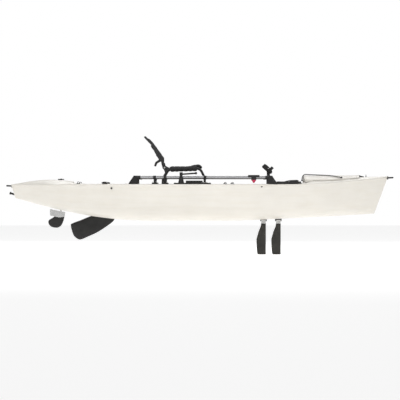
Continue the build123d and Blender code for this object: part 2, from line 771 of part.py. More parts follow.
def make_fin(index):
    """Flexible fin: a straight leading edge on its mast and a belly that widens below."""
    x = fin_x(index) + DRUM_LENGTH / 2
    top = FIN_ROOT_Z - SIDE_PLAY
    tip = FIN_ROOT_Z - FIN_LENGTH
    outline = [(x + 1, top), (x + 1, tip + 6), (x - 84, tip)]
    outline += [(x - 92, top - 148), (x - 50, top - 28), (x - 46, top)]
    fin = side_plate(outline, -FIN_T / 2, FIN_T / 2, 3)
    mast_x = x - 8
    fin += rod_z(mast_x, 0, tip + 10, top, FIN_T / 2 + 3)
    return fin - rod_z(mast_x, 0, tip + 21, top + 1, MAST_D / 2)


def make_crank_shaft():
    """Shaft through the tower, with the chain drum between the walls."""
    reach = HOUSING_HALF + 4 + ARM_T + 4
    shaft = rod_y(CRANK_X, -reach, reach, CRANK_Z, CRANK_PIN_R)
    half = HOUSING_HALF - 12
    return shaft + rod_y(CRANK_X, -half, half, CRANK_Z, CHAIN_DRUM_R)


def pedal_centre():
    return CRANK_X - 27.0, CRANK_Z + ARM_LENGTH - 1.5


def arm_span(side):
    """Limits of a crank arm along Y."""
    low = HOUSING_HALF + 4
    return (low, low + ARM_T) if side > 0 else (-low - ARM_T, -low)


def make_crank_arm(side):
    y0, y1 = arm_span(side)
    px, pz = pedal_centre()
    hub = rod_y(CRANK_X, y0, y1, CRANK_Z, 24)
    arm = side_plate([(CRANK_X - 19, CRANK_Z), (CRANK_X + 19, CRANK_Z), (px + 13, pz), (px - 13, pz)], y0, y1)
    eye = rod_y(px, y0, y1, pz, 14)
    body = hub + arm + eye
    body -= rod_y(CRANK_X, y0 - 1, y1 + 1, CRANK_Z, CRANK_PIN_R + RUN_FIT)
    return body - rod_y(px, y0 - 1, y1 + 1, pz, PEDAL_PIN_R)


def make_pedal_pins():
    px, pz = pedal_centre()
    y0 = arm_span(1)[0]
    pin = rod_y(px, y0, y0 + ARM_T + PEDAL_W + 6, pz, PEDAL_PIN_R)
    return pin


def make_pedal(side):
    """Foot plate with a heel rim and a pivot boss."""
    px, pz = pedal_centre()
    start = arm_span(1)[1] + 1.0
    low, high = (start, start + PEDAL_W) if side > 0 else (-start - PEDAL_W, -start)
    place = Pos(px, (low + high) / 2, pz) * Rot(0, PEDAL_TILT, 0)
    boss = Rot(90, 0, 0) * Cylinder(11, PEDAL_W)
    plate = Pos(0, 0, -15) * Box(PEDAL_L, PEDAL_W, 10)
    plate = fillet(plate.edges().filter_by(Axis.Z), 14)
    heel = Pos(-PEDAL_L / 2 + 5, 0, -2) * Box(8, PEDAL_W - 30, 32)
    rib = Pos(0, 0, -10) * Box(PEDAL_L - 40, PEDAL_W - 30, 8)
    pedal = boss + plate + heel + rib
    return place * (pedal - Rot(90, 0, 0) * Cylinder(PEDAL_PIN_R + RUN_FIT, PEDAL_W + 2))


def make_strap(side):
    """Foot strap that arches over the plate from edge to edge."""
    px, pz = pedal_centre()
    start = arm_span(1)[1] + 1.0
    middle = side * (start + PEDAL_W / 2)
    place = Pos(px, middle, pz) * Rot(0, PEDAL_TILT, 0)
    radius = PEDAL_W / 2 - 3
    ring = Rot(0, 90, 0) * (Cylinder(radius, 26) - Cylinder(radius - 3, 28))
    upper = Pos(26, 0, 100 - 9.7) * Box(60, 120, 200)
    return place * (Pos(26, 0, 0) * ring & upper)


def make_drive_chains():
    """Straight strands of the drive chains, from the crank down to the drums."""
    strands = []
    low = keel_z(DRIVE_X + MAST_SPACING / 2 + 44.0) + 30
    for side in (-1, 1):
        x = CRANK_X + side * (CHAIN_DRUM_R + 3 + SEAT_GAP)
        for y in (-9, 9):
            strands.append(block(x - 3, x + 3, y - 2, y + 2, low, CRANK_Z))
    return strands


LATCH_Y = WELL_HALF + 34.0


def make_latch(side):
    """Turning catch beside the drive well that grips the drive's flange."""
    x, y = DRIVE_X, side * LATCH_Y
    base = FLOOR_Z + SEAT_GAP
    hub = rod_z(x, y, base, base + 18, 11)
    low, high = sorted((y, side * (LATCH_Y - 24)))
    tongue = block(x - 9, x + 9, low, high, FLOOR_Z + 11.5, base + 18)
    grip = block(x - 5, x + 5, y - 3 + side * 12, y + 3 + side * 12, base + 4, base + 26)
    return hub + tongue + grip - rod_z(x, y, base - 1, base + 19, 4 + RUN_FIT)


def make_latch_pins():
    pin = rod_z(DRIVE_X, LATCH_Y, FLOOR_Z, FLOOR_Z + 19, 4)
    pin += rod_z(DRIVE_X, LATCH_Y, FLOOR_Z + 19, FLOOR_Z + 22, 8)
    return both_sides(pin)


# ------------------------------------------------------------------ bow hatch
HINGE_X = LID_X[1] + 9.0


def hinge_z():
    return deck_z(HINGE_X) + 9.0


def lid_outline(inset=0.0):
    x0, x1 = LID_X[0] + inset, LID_X[1] - inset
    edge = 46.0 + inset
    middle = (x0 + x1) / 2
    points = [(x0, half_beam(x0) - edge - 34), (middle, half_beam(middle) - edge), (x1, half_beam(x1) - edge)]
    return mirrored(points)


def make_lid(outer):
    """Crowned lid that follows the bow deck, with a hinge knuckle at its front."""
    gap = GASKET_T + 0.6
    base = outer.solids()[0]
    upper = Pos(-LID_SHIFT, 0, gap + LID_T) * base
    column = prism(lid_outline(), 340, 520, 22).solids()[0]
    plate = (column & upper).solids()[0].cut(Pos(0, 0, gap) * base)
    plate = max(plate.solids(), key=lambda s: s.volume)
    z = hinge_z()
    knuckle = rod_y(HINGE_X, -29.5, 29.5, z, 7) + block(LID_X[1] - 8, HINGE_X, -29.5, 29.5, z - 4, z + 7)
    body = plate + knuckle
    return body - rod_y(HINGE_X, -40, 40, z, HINGE_PIN_R + RUN_FIT)


def make_gasket(outer):
    """Rubber ring on the deck under the lid."""
    base = outer.solids()[0]
    inner = prism(lid_outline(24), 300, 560, 14).solids()[0]
    ring = prism(lid_outline(14), 340, 520, 18).solids()[0].cut(inner)
    upper = Pos(0, 0, GASKET_T) * base
    slab = (ring & upper).solids()[0].cut(Pos(0, 0, 0.1) * base)
    return max(slab.solids(), key=lambda s: s.volume)


def make_hatch_hinge(outer):
    """Deck bracket with two ears."""
    z = hinge_z()
    deck = deck_z(HINGE_X) - 12
    out = None
    for y in (-35.5, 35.5):
        ear = rod_y(HINGE_X, y - 5.5, y + 5.5, z, 7)
        ear += block(HINGE_X - 7, HINGE_X + 26, y - 5.5, y + 5.5, deck, z)
        out = ear if out is None else out + ear
    out += block(HINGE_X + 9, HINGE_X + 40, -41, 41, deck, deck + 17)
    out -= rod_y(HINGE_X, -50, 50, z, HINGE_PIN_R + RUN_FIT)
    return cut_back(out, outer, 0.05)


def make_hatch_pin():
    return rod_y(HINGE_X, -41, 41, hinge_z(), HINGE_PIN_R)


# ------------------------------------------------------------------ bow cord
BUNGEE_D = 8.0
LID_TOP = GASKET_T + 0.6 + LID_T


def lid_top_z(x, y):
    """Height of the lid's upper surface."""
    return deck_edge_z(x + LID_SHIFT, y) + LID_TOP


def bungee_route(side):
    """Elastic cord from the rear toggle over the lid and down to its side."""
    lift = BUNGEE_D / 2 + 4.0
    x0 = LID_X[0]
    places = [(x0 + 60, 26), (x0 + 150, 60), (x0 + 240, 100), (x0 + 300, 135), (x0 + 350, 168)]
    over = [(x, side * y, lid_top_z(x, y) + lift) for x, y in places]
    rear = [(x0 - 16, side * 16, lid_top_z(x0, 0) - 44), (x0 - 13, side * 18, lid_top_z(x0, 0) + 13)]
    return rear + over


def fillet_radii(points, share=0.42):
    """Arc radius for each corner of a route, from the shorter run beside it."""
    radii = []
    for a, b, c in zip(points, points[1:], points[2:]):
        first, second = Vector(*b) - Vector(*a), Vector(*c) - Vector(*b)
        turn = math.radians(first.get_angle(second))
        radii.append(share * min(first.length, second.length) / math.tan(turn / 2))
    return radii


def make_bungee():
    cords = []
    for side in (-1, 1):
        points = bungee_route(side)
        radii = fillet_radii(points)
        cords.append(bent_tube(points, radii, BUNGEE_D))
    return cords


def make_bungee_ends():
    """Moulded ends of the bow cord: a toggle at the rear and a hook on each side."""
    pieces = []
    x0 = LID_X[0]
    z = lid_top_z(x0, 0) - 44
    pieces.append(block(x0 - 23, x0 - 9, -28, 28, z - 10, z, 3))
    for side in (-1, 1):
        x, y, z = bungee_route(side)[-1]
        pieces.append(Pos(x + 7.2, y + side * 5, z - 1) * Rot(0, 0, side * 33) * Box(16, 12, 12))
    return pieces


def eye(x, y, z, turn=0.0):
    """Pad eye: a foot with an arched loop."""
    foot = Pos(0, 0, 2) * Box(34, 12, 4)
    loop = bent_tube([(-9, 0, 2), (-9, 0, 17), (9, 0, 17), (9, 0, 2)], [7, 7], 5)
    return Pos(x, y, z) * Rot(0, 0, turn) * (foot + loop)


def make_gunwale_eyes():
    """Pad eyes along both gunwales and on the bow deck."""
    eyes = []
    for x, offset in ((247, 38), (316, 38), (-1165, 60)):
        y = half_beam(x) - offset
        eyes += both_sides(eye(x, y, seat_z(x, y - 6)))
    x = HINGE_X + 62
    eyes += [eye(x, 0, deck_z(x) + 0.6, 90)]
    return eyes


def side_reach(outer, x, z):
    """Distance from the middle plane to the hull's side at a place."""
    probe = Edge.make_line((x, 0, z), (x, HULL_BEAM, z))
    return (outer & probe).bounding_box().max.Y


def make_side_plugs(outer):
    """Round plugs on the hull's sides, each a thin disc turned to lie along the hull."""
    plugs = []
    span = 8.0
    for x, z in ((-842, 312), (594, 329)):
        fore = (side_reach(outer, x + span, z) - side_reach(outer, x - span, z)) / (2 * span)
        up = (side_reach(outer, x, z + span) - side_reach(outer, x, z - span)) / (2 * span)
        normal = Vector(-fore, 1, -up).normalized()
        start = Vector(x, side_reach(outer, x, z), z) + normal * SEAT_GAP
        disc = Plane(origin=start, z_dir=normal) * Pos(0, 0, 1.5) * Cylinder(9, 3)
        plugs += both_sides(disc)
    return plugs


# ------------------------------------------------------------------ dash console
DASH = (742.0, 976.0)
DASH_SILL = 22.0
DASH_NOTCH = (828.0, 150.0)     # room for the crank arms: its front end and half width
DASH_TRAY = (844.0, 930.0, 172.0)


def dash_outline(inset=0.0):
    x0, x1 = DASH[0] + inset, DASH[1] - inset
    y0, y1 = half_beam(x0) - 34 - inset, half_beam(x1) - 62 - inset
    notch_x, notch_y = DASH_NOTCH
    return mirrored(((notch_x, notch_y), (x0, notch_y + 30), (x0, y0), (x1, y1)))


def dash_base():
    return deck_edge_z(DASH[0], half_beam(DASH[0]) - 130) + SEAT_GAP


def make_dash(outer):
    """Notched console across the front of the cockpit, with a shallow tray."""
    base = dash_base()
    plate = cut_back(prism(dash_outline(), base, base + DASH_SILL, 14), outer)
    x0, x1, half = DASH_TRAY
    hang = block(x0 - 4, x1 + 4, -half - 4, half + 4, base - 66, base + 12, 24)
    tray = block(x0, x1, -half, half, base - 62, base + 40, 20)
    console = plate + hang - tray
    for ear in make_dash_ears():
        console += ear
    return console


def dash_hinge():
    return DASH[1] - 28.0, dash_base() + DASH_SILL + 9.0


def make_dash_ears():
    """Hinge ears on the console's front edge."""
    x, z = dash_hinge()
    ears = []
    for y in (-120, 120):
        for shift in (-14, 14):
            low = y + shift - 4
            ear = rod_y(x, low, low + 8, z, 6.5)
            ear += block(x - 6, x + 12, low, low + 8, z - 9.0, z)
            ears.append(ear - rod_y(x, low - 1, low + 9, z, HINGE_PIN_R + RUN_FIT))
    return ears


def make_dash_lid():
    """Lid over the tray, rising towards the bow."""
    x, z = dash_hinge()
    base = z - 9.0 + SEAT_GAP
    x0 = DASH_NOTCH[0] + 4
    x1 = x - 10.0
    outline = [(x0, base), (x1, base), (x1, base + 16), (x0 + 30, base + 12), (x0, base + 5)]
    lid = side_plate(outline, -215, 215, 1.5)
    for y in (-120, 120):
        lid += rod_y(x, y - 9.5, y + 9.5, z, 6.5) + block(x1 - 4, x, y - 9.5, y + 9.5, z - 3, z + 6.5)
    return lid - rod_y(x, -200, 200, z, HINGE_PIN_R + RUN_FIT)


def make_dash_pins():
    x, z = dash_hinge()
    return [rod_y(x, y - 18, y + 18, z, HINGE_PIN_R) for y in (-120, 120)]


# ------------------------------------------------------------------ floor hatch and pads
def make_floor_ring():
    """Frame round the floor hatch with two hinge ears."""
    low, high, half = FLOOR_HATCH
    z = FLOOR_Z + SEAT_GAP
    ring = block(low - 20, high + 20, -half - 20, half + 20, z, z + 5, 24)
    ring += block(low + 0.6, high - 0.6, -half + 0.6, half - 0.6, FLOOR_Z - HULL_WALL - 4, z + 1, 19)
    ring -= block(low + 6, high - 6, -half + 6, half - 6, FLOOR_Z - 30, z + 10, 16)
    hx, hz = floor_hinge()
    for y in (-61, 61):
        for shift in (-12, 12):
            low = y + shift - 3
            lug = rod_y(hx, low, low + 6, hz, 5)
            lug += block(hx - 5, hx + 5, low, low + 6, z + 1, hz)
            ring += lug
    return ring - rod_y(hx, -100, 100, hz, 2 + RUN_FIT)


def floor_hinge():
    return FLOOR_HATCH[1] + 10.0, FLOOR_Z + SEAT_GAP + 5 + 5.5


def make_floor_lid():
    low, high, half = FLOOR_HATCH
    z = FLOOR_Z + SEAT_GAP + 5 + SEAT_GAP
    lid = block(low - 14, high + 2, -half - 14, half + 14, z, z + 7, 20)
    lid += block(low + 40, high - 40, -half + 30, half - 30, z + 6, z + 9, 14)
    hx, hz = floor_hinge()
    for y in (-61, 61):
        lid += rod_y(hx, y - 8.5, y + 8.5, hz, 5) + block(high - 6, hx, y - 8.5, y + 8.5, hz - 2, hz + 5)
    return lid - rod_y(hx, -100, 100, hz, 2 + RUN_FIT)


def make_floor_pins():
    hx, hz = floor_hinge()
    return [rod_y(hx, y - 15, y + 15, hz, 2) for y in (-61, 61)]


def make_floor_pads():
    """Closed-cell foam pads stuck on the cockpit's floor."""
    z = FLOOR_Z + SEAT_GAP
    pads = both_sides(prism([(98, 145), (98, 292), (380, 292), (380, 145)], z, z + 4, 12))
    pads += both_sides(prism([(470, 90), (470, 250), (690, 262), (860, 212), (880, 90)], z, z + 4, 14))
    pads.append(block(-340, 30, -110, 110, z, z + 4, 20))
    return pads


# ------------------------------------------------------------------ rod holders
def make_rod_tubes():
    """Flush rod holders: a closed tube with an oval-looking flange."""
    tubes = []
    for side in (-1, 1):
        body = rod_well(side, ROD_R + ROD_WALL - SEAT_GAP, -ROD_DEPTH + SEAT_GAP, ROD_LIP)
        flange = rod_well(side, ROD_R + 9, ROD_LIP - 4, ROD_LIP)
        bore = rod_well(side, ROD_R, -ROD_DEPTH + ROD_WALL + SEAT_GAP, ROD_LIP + 1)
        tubes.append(body + flange - bore)
    return tubes


# ------------------------------------------------------------------ whole boat
def make_all():
    """Every node's name with its shape or shapes."""
    outer = hull_form()
    hull = make_hull(outer)
    return {"hull": hull, **fittings(outer), **moving_parts(outer)}


def fittings(outer):
    """Pieces that stay still on the hull."""
    posts = [rail_post(x, side) for side in (-1, 1) for x in (-430, -330, 52)]
    ends = [rail_end(x, reach, side) for side in (-1, 1) for x, reach in zip(RAIL_X, (-84, 84))]
    return {
        "end_handles": make_end_handles(outer),
        "side_rails": [rail(1), rail(-1)],
        "rail_posts": posts,
        "rail_end_brackets": ends,
        "steering_pedestal": make_steering_base(),
        "gunwale_eyes": make_gunwale_eyes(),
        "side_plugs": make_side_plugs(outer),
        "rod_holders": make_rod_tubes(),
        "dash_console": make_dash(outer),
        "floor_hatch_frame": make_floor_ring(),
        "floor_pads": make_floor_pads(),
        "hatch_gasket": make_gasket(outer),
        "hatch_hinge": make_hatch_hinge(outer),
        "lid_hinge_pins": [make_hatch_pin(), *make_dash_pins(), *make_floor_pins()],
        "rudder_bushes": make_rudder_bushes(),
        "skeg_pin": make_skeg_pin(),
        "seat_clips": make_seat_clips(),
        "seat_frame": make_seat_base(),
        "seat_pad": make_seat_pad(),
        "seat_hinge_pins": make_seat_pins(),
        "drive_housing": make_housing(),
        "drive_chains": make_drive_chains(),
        "drum_axles": make_drum_pins(),
        "latch_pins": make_latch_pins(),
    }


def moving_parts(outer):
    """Pieces that turn or slide."""
    nodes = {
        "drain_plug": make_drain_plug(),
        "rail_clamp": make_rail_clamp(),
        "clamp_screw": make_clamp_screw(),
        "steering_handle": make_steering_handle(),
        "steering_drum": make_steering_drum(),
        "rudder_stock": make_rudder_stock(),
        "rudder_drum": make_rudder_drum(),
        "rudder_pin": make_rudder_pin(),
        "rudder_blade": make_rudder_blade(),
        "skeg_blade": make_skeg_blade(),
        "seat_back_frame": make_seat_back(),
        "seat_back_mesh": make_seat_back_pad(),
        "recline_lever": make_seat_lever(),
        "crank_shaft": make_crank_shaft(),
        "bow_hatch_lid": make_lid(outer),
        "bow_cord": make_bungee(),
        "bow_cord_ends": make_bungee_ends(),
        "dash_lid": make_dash_lid(),
        "floor_hatch_lid": make_floor_lid(),
    }
    for name, side in (("port", 1), ("starboard", -1)):
        nodes[f"crank_arm_{name}"] = make_crank_arm(side)
        nodes[f"pedal_{name}"] = make_pedal(side)
        nodes[f"foot_strap_{name}"] = make_strap(side)
        nodes[f"drive_latch_{name}"] = make_latch(side)
        pin = make_pedal_pins()
        nodes[f"pedal_pin_{name}"] = pin if side > 0 else mirror_y(pin)
    for name, index in (("aft", 0), ("front", 1)):
        nodes[f"fin_drum_{name}"] = make_drum(index)
        nodes[f"fin_mast_{name}"] = make_mast(index)
        nodes[f"fin_{name}"] = make_fin(index)
    return nodes


if __name__ == "__main__":
    os.makedirs("parts", exist_ok=True)
    for node, shapes in make_all().items():
        save(node, shapes)
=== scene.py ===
import math

import bmesh
import bpy
import numpy as np
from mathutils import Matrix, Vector


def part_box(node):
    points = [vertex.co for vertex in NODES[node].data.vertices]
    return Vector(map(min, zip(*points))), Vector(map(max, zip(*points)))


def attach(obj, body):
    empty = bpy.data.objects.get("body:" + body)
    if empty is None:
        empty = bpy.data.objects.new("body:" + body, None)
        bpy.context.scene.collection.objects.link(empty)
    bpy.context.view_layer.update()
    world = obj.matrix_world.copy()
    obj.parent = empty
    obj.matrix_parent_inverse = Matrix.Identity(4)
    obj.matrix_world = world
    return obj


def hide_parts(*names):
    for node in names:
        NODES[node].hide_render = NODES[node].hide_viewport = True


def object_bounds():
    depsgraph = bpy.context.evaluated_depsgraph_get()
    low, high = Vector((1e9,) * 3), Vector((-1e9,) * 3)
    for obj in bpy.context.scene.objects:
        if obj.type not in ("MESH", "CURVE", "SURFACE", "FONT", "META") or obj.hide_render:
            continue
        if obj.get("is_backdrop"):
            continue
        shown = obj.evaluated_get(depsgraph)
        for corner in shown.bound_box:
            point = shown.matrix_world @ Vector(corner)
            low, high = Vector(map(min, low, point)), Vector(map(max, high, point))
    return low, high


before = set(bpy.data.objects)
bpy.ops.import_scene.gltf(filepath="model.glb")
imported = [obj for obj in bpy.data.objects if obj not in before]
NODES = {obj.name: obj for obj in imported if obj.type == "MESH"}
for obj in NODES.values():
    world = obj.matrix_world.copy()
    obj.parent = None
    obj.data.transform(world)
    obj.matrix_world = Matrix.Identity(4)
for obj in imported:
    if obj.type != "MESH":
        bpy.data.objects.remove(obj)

CAD_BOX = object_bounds()
SIDES = (("port", 1), ("starboard", -1))


# ------------------------------------------------------------------ materials
def new_material(name):
    mat = bpy.data.materials.new(name)
    mat.use_nodes = True
    tree = mat.node_tree
    return mat, tree, tree.nodes["Principled BSDF"]


def add(tree, kind, **values):
    node = tree.nodes.new(kind)
    for key, value in values.items():
        if key in node.inputs:
            node.inputs[key].default_value = value
        else:
            setattr(node, key, value)
    return node


def noise(tree, scale, detail=4.0, roughness=0.55, stretch=(1, 1, 1)):
    """Noise over the piece's own coordinates."""
    place = add(tree, "ShaderNodeTexCoord")
    mapping = add(tree, "ShaderNodeMapping")
    mapping.inputs["Scale"].default_value = stretch
    texture = add(tree, "ShaderNodeTexNoise", Scale=scale, Detail=detail, Roughness=roughness)
    tree.links.new(place.outputs["Object"], mapping.inputs["Vector"])
    tree.links.new(mapping.outputs["Vector"], texture.inputs["Vector"])
    return texture.outputs["Fac"]


def ramp(tree, source, stops):
    node = add(tree, "ShaderNodeValToRGB")
    while len(node.color_ramp.elements) < len(stops):
        node.color_ramp.elements.new(0.5)
    for element, (place, colour) in zip(node.color_ramp.elements, stops):
        element.position = place
        element.color = (*colour, 1.0)
    tree.links.new(source, node.inputs["Fac"])
    return node.outputs["Color"]


def value_ramp(tree, source, low, high, start=0.3, end=0.7):
    return ramp(tree, source, ((start, (low,) * 3), (end, (high,) * 3)))


def join(tree, first, second):
    """One colour multiplied by another."""
    node = add(tree, "ShaderNodeMix", data_type="RGBA", blend_type="MULTIPLY")
    node.inputs["Factor"].default_value = 1.0
    tree.links.new(first, node.inputs["A"])
    tree.links.new(second, node.inputs["B"])
    return node.outputs["Result"]


def combine(tree, first, second, operation="ADD"):
    node = add(tree, "ShaderNodeMath", operation=operation)
    tree.links.new(first, node.inputs[0])
    tree.links.new(second, node.inputs[1])
    return node.outputs["Value"]


def bump(tree, shader, height, distance):
    node = add(tree, "ShaderNodeBump", Strength=1.0, Distance=distance)
    tree.links.new(height, node.inputs["Height"])
    tree.links.new(node.outputs["Normal"], shader.inputs["Normal"])


def moulded(name, colour, spread=0.12, rough=(0.35, 0.55), grain=900.0, depth=0.00008, wear=None):
    """Moulded plastic or rubber: slight colour variation, fine grain, and rubbed patches."""
    mat, tree, shader = new_material(name)
    dark = tuple(c * (1 - spread) for c in colour)
    light = tuple(min(c * (1 + spread), 1.0) for c in colour)
    base = ramp(tree, noise(tree, 14.0), ((0.35, dark), (0.65, light)))
    if wear:
        marks = noise(tree, 60.0, 8.0, 0.7, (1, 4, 4))
        scuff = value_ramp(tree, marks, 0.0, 1.0, 0.62, 0.72)
        blend = add(tree, "ShaderNodeMix", data_type="RGBA", blend_type="MIX")
        tree.links.new(scuff, blend.inputs["Factor"])
        tree.links.new(base, blend.inputs["A"])
        blend.inputs["B"].default_value = (*wear, 1)
        base = blend.outputs["Result"]
    tree.links.new(base, shader.inputs["Base Color"])
    tree.links.new(value_ramp(tree, noise(tree, 35.0), *rough), shader.inputs["Roughness"])
    shader.inputs["Specular IOR Level"].default_value = 0.32
    bump(tree, shader, noise(tree, grain, 2.0), depth)
    return mat


def hull_material():
    """Rotation-moulded polyethylene: warm off-white, orange-peel surface, rub marks low down."""
    mat, tree, shader = new_material("hull_shell")
    white = (1, 1, 1)
    base = ramp(tree, noise(tree, 3.0, 5.0),
                ((0.3, (0.615, 0.59, 0.54)), (0.7, (0.665, 0.64, 0.59))))
    streaks = ramp(tree, noise(tree, 9.0, 6.0, 0.6, (0.25, 1, 3)),
                   ((0.45, white), (0.75, (0.965, 0.955, 0.93))))
    scratches = ramp(tree, noise(tree, 120.0, 3.0, 0.5, (0.04, 1, 1)),
                     ((0.66, white), (0.74, (0.93, 0.925, 0.91))))
    place = add(tree, "ShaderNodeTexCoord")
    split = add(tree, "ShaderNodeSeparateXYZ")
    tree.links.new(place.outputs["Object"], split.inputs["Vector"])
    low = add(tree, "ShaderNodeMapRange")
    low.inputs["From Min"].default_value = 0.0
    low.inputs["From Max"].default_value = 0.12
    low.inputs["To Min"].default_value = 1.0
    low.inputs["To Max"].default_value = 0.15
    tree.links.new(split.outputs["Z"], low.inputs["Value"])
    worn = add(tree, "ShaderNodeMix", data_type="RGBA", blend_type="MULTIPLY")
    tree.links.new(low.outputs["Result"], worn.inputs["Factor"])
    tree.links.new(base, worn.inputs["A"])
    tree.links.new(scratches, worn.inputs["B"])
    tree.links.new(join(tree, worn.outputs["Result"], streaks), shader.inputs["Base Color"])
    tree.links.new(value_ramp(tree, noise(tree, 25.0), 0.36, 0.5), shader.inputs["Roughness"])
    shader.inputs["Subsurface Weight"].default_value = 0.04
    shader.inputs["Subsurface Radius"].default_value = (0.01, 0.008, 0.006)
    peel = combine(tree, noise(tree, 260.0, 3.0), noise(tree, 30.0, 2.0))
    bump(tree, shader, peel, 0.00018)
    return mat


def metal(name, colour, rough=(0.25, 0.4), along=(1, 40, 40), depth=0.00003, metallic=1.0):
    """Drawn or brushed metal with fine lines along one direction."""
    mat, tree, shader = new_material(name)
    dark = tuple(c * 0.86 for c in colour)
    base = ramp(tree, noise(tree, 30.0, 5.0, 0.6), ((0.3, dark), (0.7, colour)))
    tree.links.new(base, shader.inputs["Base Color"])
    shader.inputs["Metallic"].default_value = metallic
    lines = noise(tree, 60.0, 4.0, 0.6, along)
    tree.links.new(value_ramp(tree, lines, *rough), shader.inputs["Roughness"])
    bump(tree, shader, lines, depth)
    return mat


def weave(name, colour, light, cell, depth, plane):
    """Woven cloth: two crossing sets of threads, as colour, bump and sheen; in the colour, the
    lighter thread crests are painted highlight and the darker hollows between threads are painted
    shade.
    """
    mat, tree, shader = new_material(name)
    place = add(tree, "ShaderNodeTexCoord")
    bands = []
    for axis in plane:
        wave = add(tree, "ShaderNodeTexWave", wave_type="BANDS", bands_direction=axis,
                   wave_profile="SIN")
        wave.inputs["Scale"].default_value = 0.314 / cell
        wave.inputs["Distortion"].default_value = 0.6
        wave.inputs["Detail"].default_value = 1.0
        tree.links.new(place.outputs["Object"], wave.inputs["Vector"])
        bands.append(wave.outputs["Fac"])
    height = combine(tree, *bands, operation="MAXIMUM")
    # painted highlight and painted shade: the colour follows the threads' height, light on the
    # crests and dark in the hollows between them
    painted_thread_shading = ramp(tree, height, ((0.25, colour), (0.95, light)))
    shade = ramp(tree, noise(tree, 18.0), ((0.3, (0.82, 0.82, 0.82)), (0.7, (1, 1, 1))))
    tree.links.new(join(tree, painted_thread_shading, shade), shader.inputs["Base Color"])
    shader.inputs["Roughness"].default_value = 0.8
    shader.inputs["Sheen Weight"].default_value = 0.06
    shader.inputs["Specular IOR Level"].default_value = 0.2
    shader.inputs["Sheen Roughness"].default_value = 0.5
    bump(tree, shader, height, depth)
    return mat


HULL = hull_material()
BLACK = moulded("black_moulded", (0.0075, 0.0072, 0.0072), 0.25, (0.38, 0.6),
                wear=(0.03, 0.03, 0.031))
DARK = moulded("dark_moulded", (0.016, 0.0155, 0.0155), 0.22, (0.45, 0.65), 700.0, 0.00012,
               wear=(0.045, 0.045, 0.046))
LIDGREY = moulded("lid_moulded", (0.60, 0.575, 0.525), 0.04, (0.4, 0.52), 320.0, 0.00016)
RUBBER = moulded("gasket_rubber", (0.009, 0.009, 0.0092), 0.15, (0.6, 0.8), 500.0, 0.00006)
FIN = moulded("fin_rubber", (0.024, 0.0225, 0.0195), 0.2, (0.42, 0.62), 420.0, 0.00014,
              wear=(0.05, 0.047, 0.041))
BLADE = moulded("blade_nylon", (0.0125, 0.0122, 0.0118), 0.2, (0.35, 0.55), 600.0, 0.00012,
                wear=(0.035, 0.035, 0.034))
FOAM = moulded("deck_foam", (0.052, 0.051, 0.05), 0.14, (0.8, 0.95), 1200.0, 0.0003)
CRIMSON = moulded("crimson_plastic", (0.46, 0.02, 0.07), 0.1, (0.3, 0.45), 900.0, 0.00005)
RAIL = metal("rail_anodised", (0.30, 0.30, 0.31), (0.3, 0.46), (1, 60, 60))
TUBE = metal("seat_tube", (0.018, 0.018, 0.019), (0.34, 0.48), (30, 30, 30), metallic=0.25)
STEEL = metal("stainless", (0.62, 0.62, 0.61), (0.16, 0.32), (40, 1, 40))
SILVER = metal("silver_casting", (0.52, 0.52, 0.51), (0.32, 0.5), (30, 30, 30), 0.00012)
# each weave's two colours: the first is painted shade in the hollows between threads, the second is
# painted highlight on the thread crests
SEAT_MESH = weave("seat_mesh", (0.006, 0.006, 0.0062), (0.06, 0.06, 0.062), 0.0032, 0.0005, "YZ")
PAD_MESH = weave("pad_mesh", (0.007, 0.007, 0.0073), (0.042, 0.042, 0.043), 0.0034, 0.0005, "XY")
WING_MESH = weave("wing_mesh", (0.007, 0.007, 0.0073), (0.045, 0.045, 0.046), 0.0034, 0.0005, "XZ")
LUMBAR_MESH = weave("lumbar_mesh", (0.010, 0.010, 0.0105), (0.05, 0.05, 0.052), 0.0034, 0.0005,
                    "YZ")
WEBBING = weave("webbing", (0.006, 0.006, 0.0062), (0.035, 0.035, 0.036), 0.0016, 0.0003, "YZ")
BRAID = weave("cord_braid", (0.007, 0.007, 0.0072), (0.05, 0.05, 0.05), 0.0024, 0.0006, "XY")


# ------------------------------------------------------------------ camera, floor and light
def look(obj, target):
    obj.rotation_euler = (Vector(target) - obj.location).to_track_quat("-Z", "Y").to_euler()


camera = bpy.data.objects.new("camera", bpy.data.cameras.new("camera"))
bpy.context.scene.collection.objects.link(camera)
AIM = Vector((0.0045, 0.0, 0.200))
FRAME_WIDTH = 3.82  # width of the view where the near side of the hull is
NEAR_SIDE = 0.43
DISTANCE = 26.0
SENSOR = 36.0
camera.location = AIM + Vector((0, -DISTANCE, 0.0))
look(camera, AIM)
camera.data.sensor_width = SENSOR
camera.data.lens = SENSOR * (DISTANCE - NEAR_SIDE) / FRAME_WIDTH
camera.data.clip_end = 200.0
bpy.context.scene.camera = camera

floor_mat, floor_tree, floor_shader = new_material("studio_floor")
floor_shader.inputs["Base Color"].default_value = (0.93, 0.93, 0.93, 1)
floor_shader.inputs["Roughness"].default_value = 0.9
floor_shader.inputs["Emission Color"].default_value = (1, 1, 1, 1)
floor_shader.inputs["Emission Strength"].default_value = 0.52
bpy.ops.mesh.primitive_plane_add(size=60.0, location=(0, 0, CAD_BOX[0][2] - 0.004))
floor = bpy.context.object
floor.name = "studio_floor"
floor.data.materials.append(floor_mat)
floor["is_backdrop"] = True


def area_light(name, place, target, size, power):
    data = bpy.data.lights.new(name, "AREA")
    data.shape = "RECTANGLE"
    data.size, data.size_y = size
    data.energy = power
    lamp = bpy.data.objects.new(name, data)
    bpy.context.scene.collection.objects.link(lamp)
    lamp.location = place
    look(lamp, target)


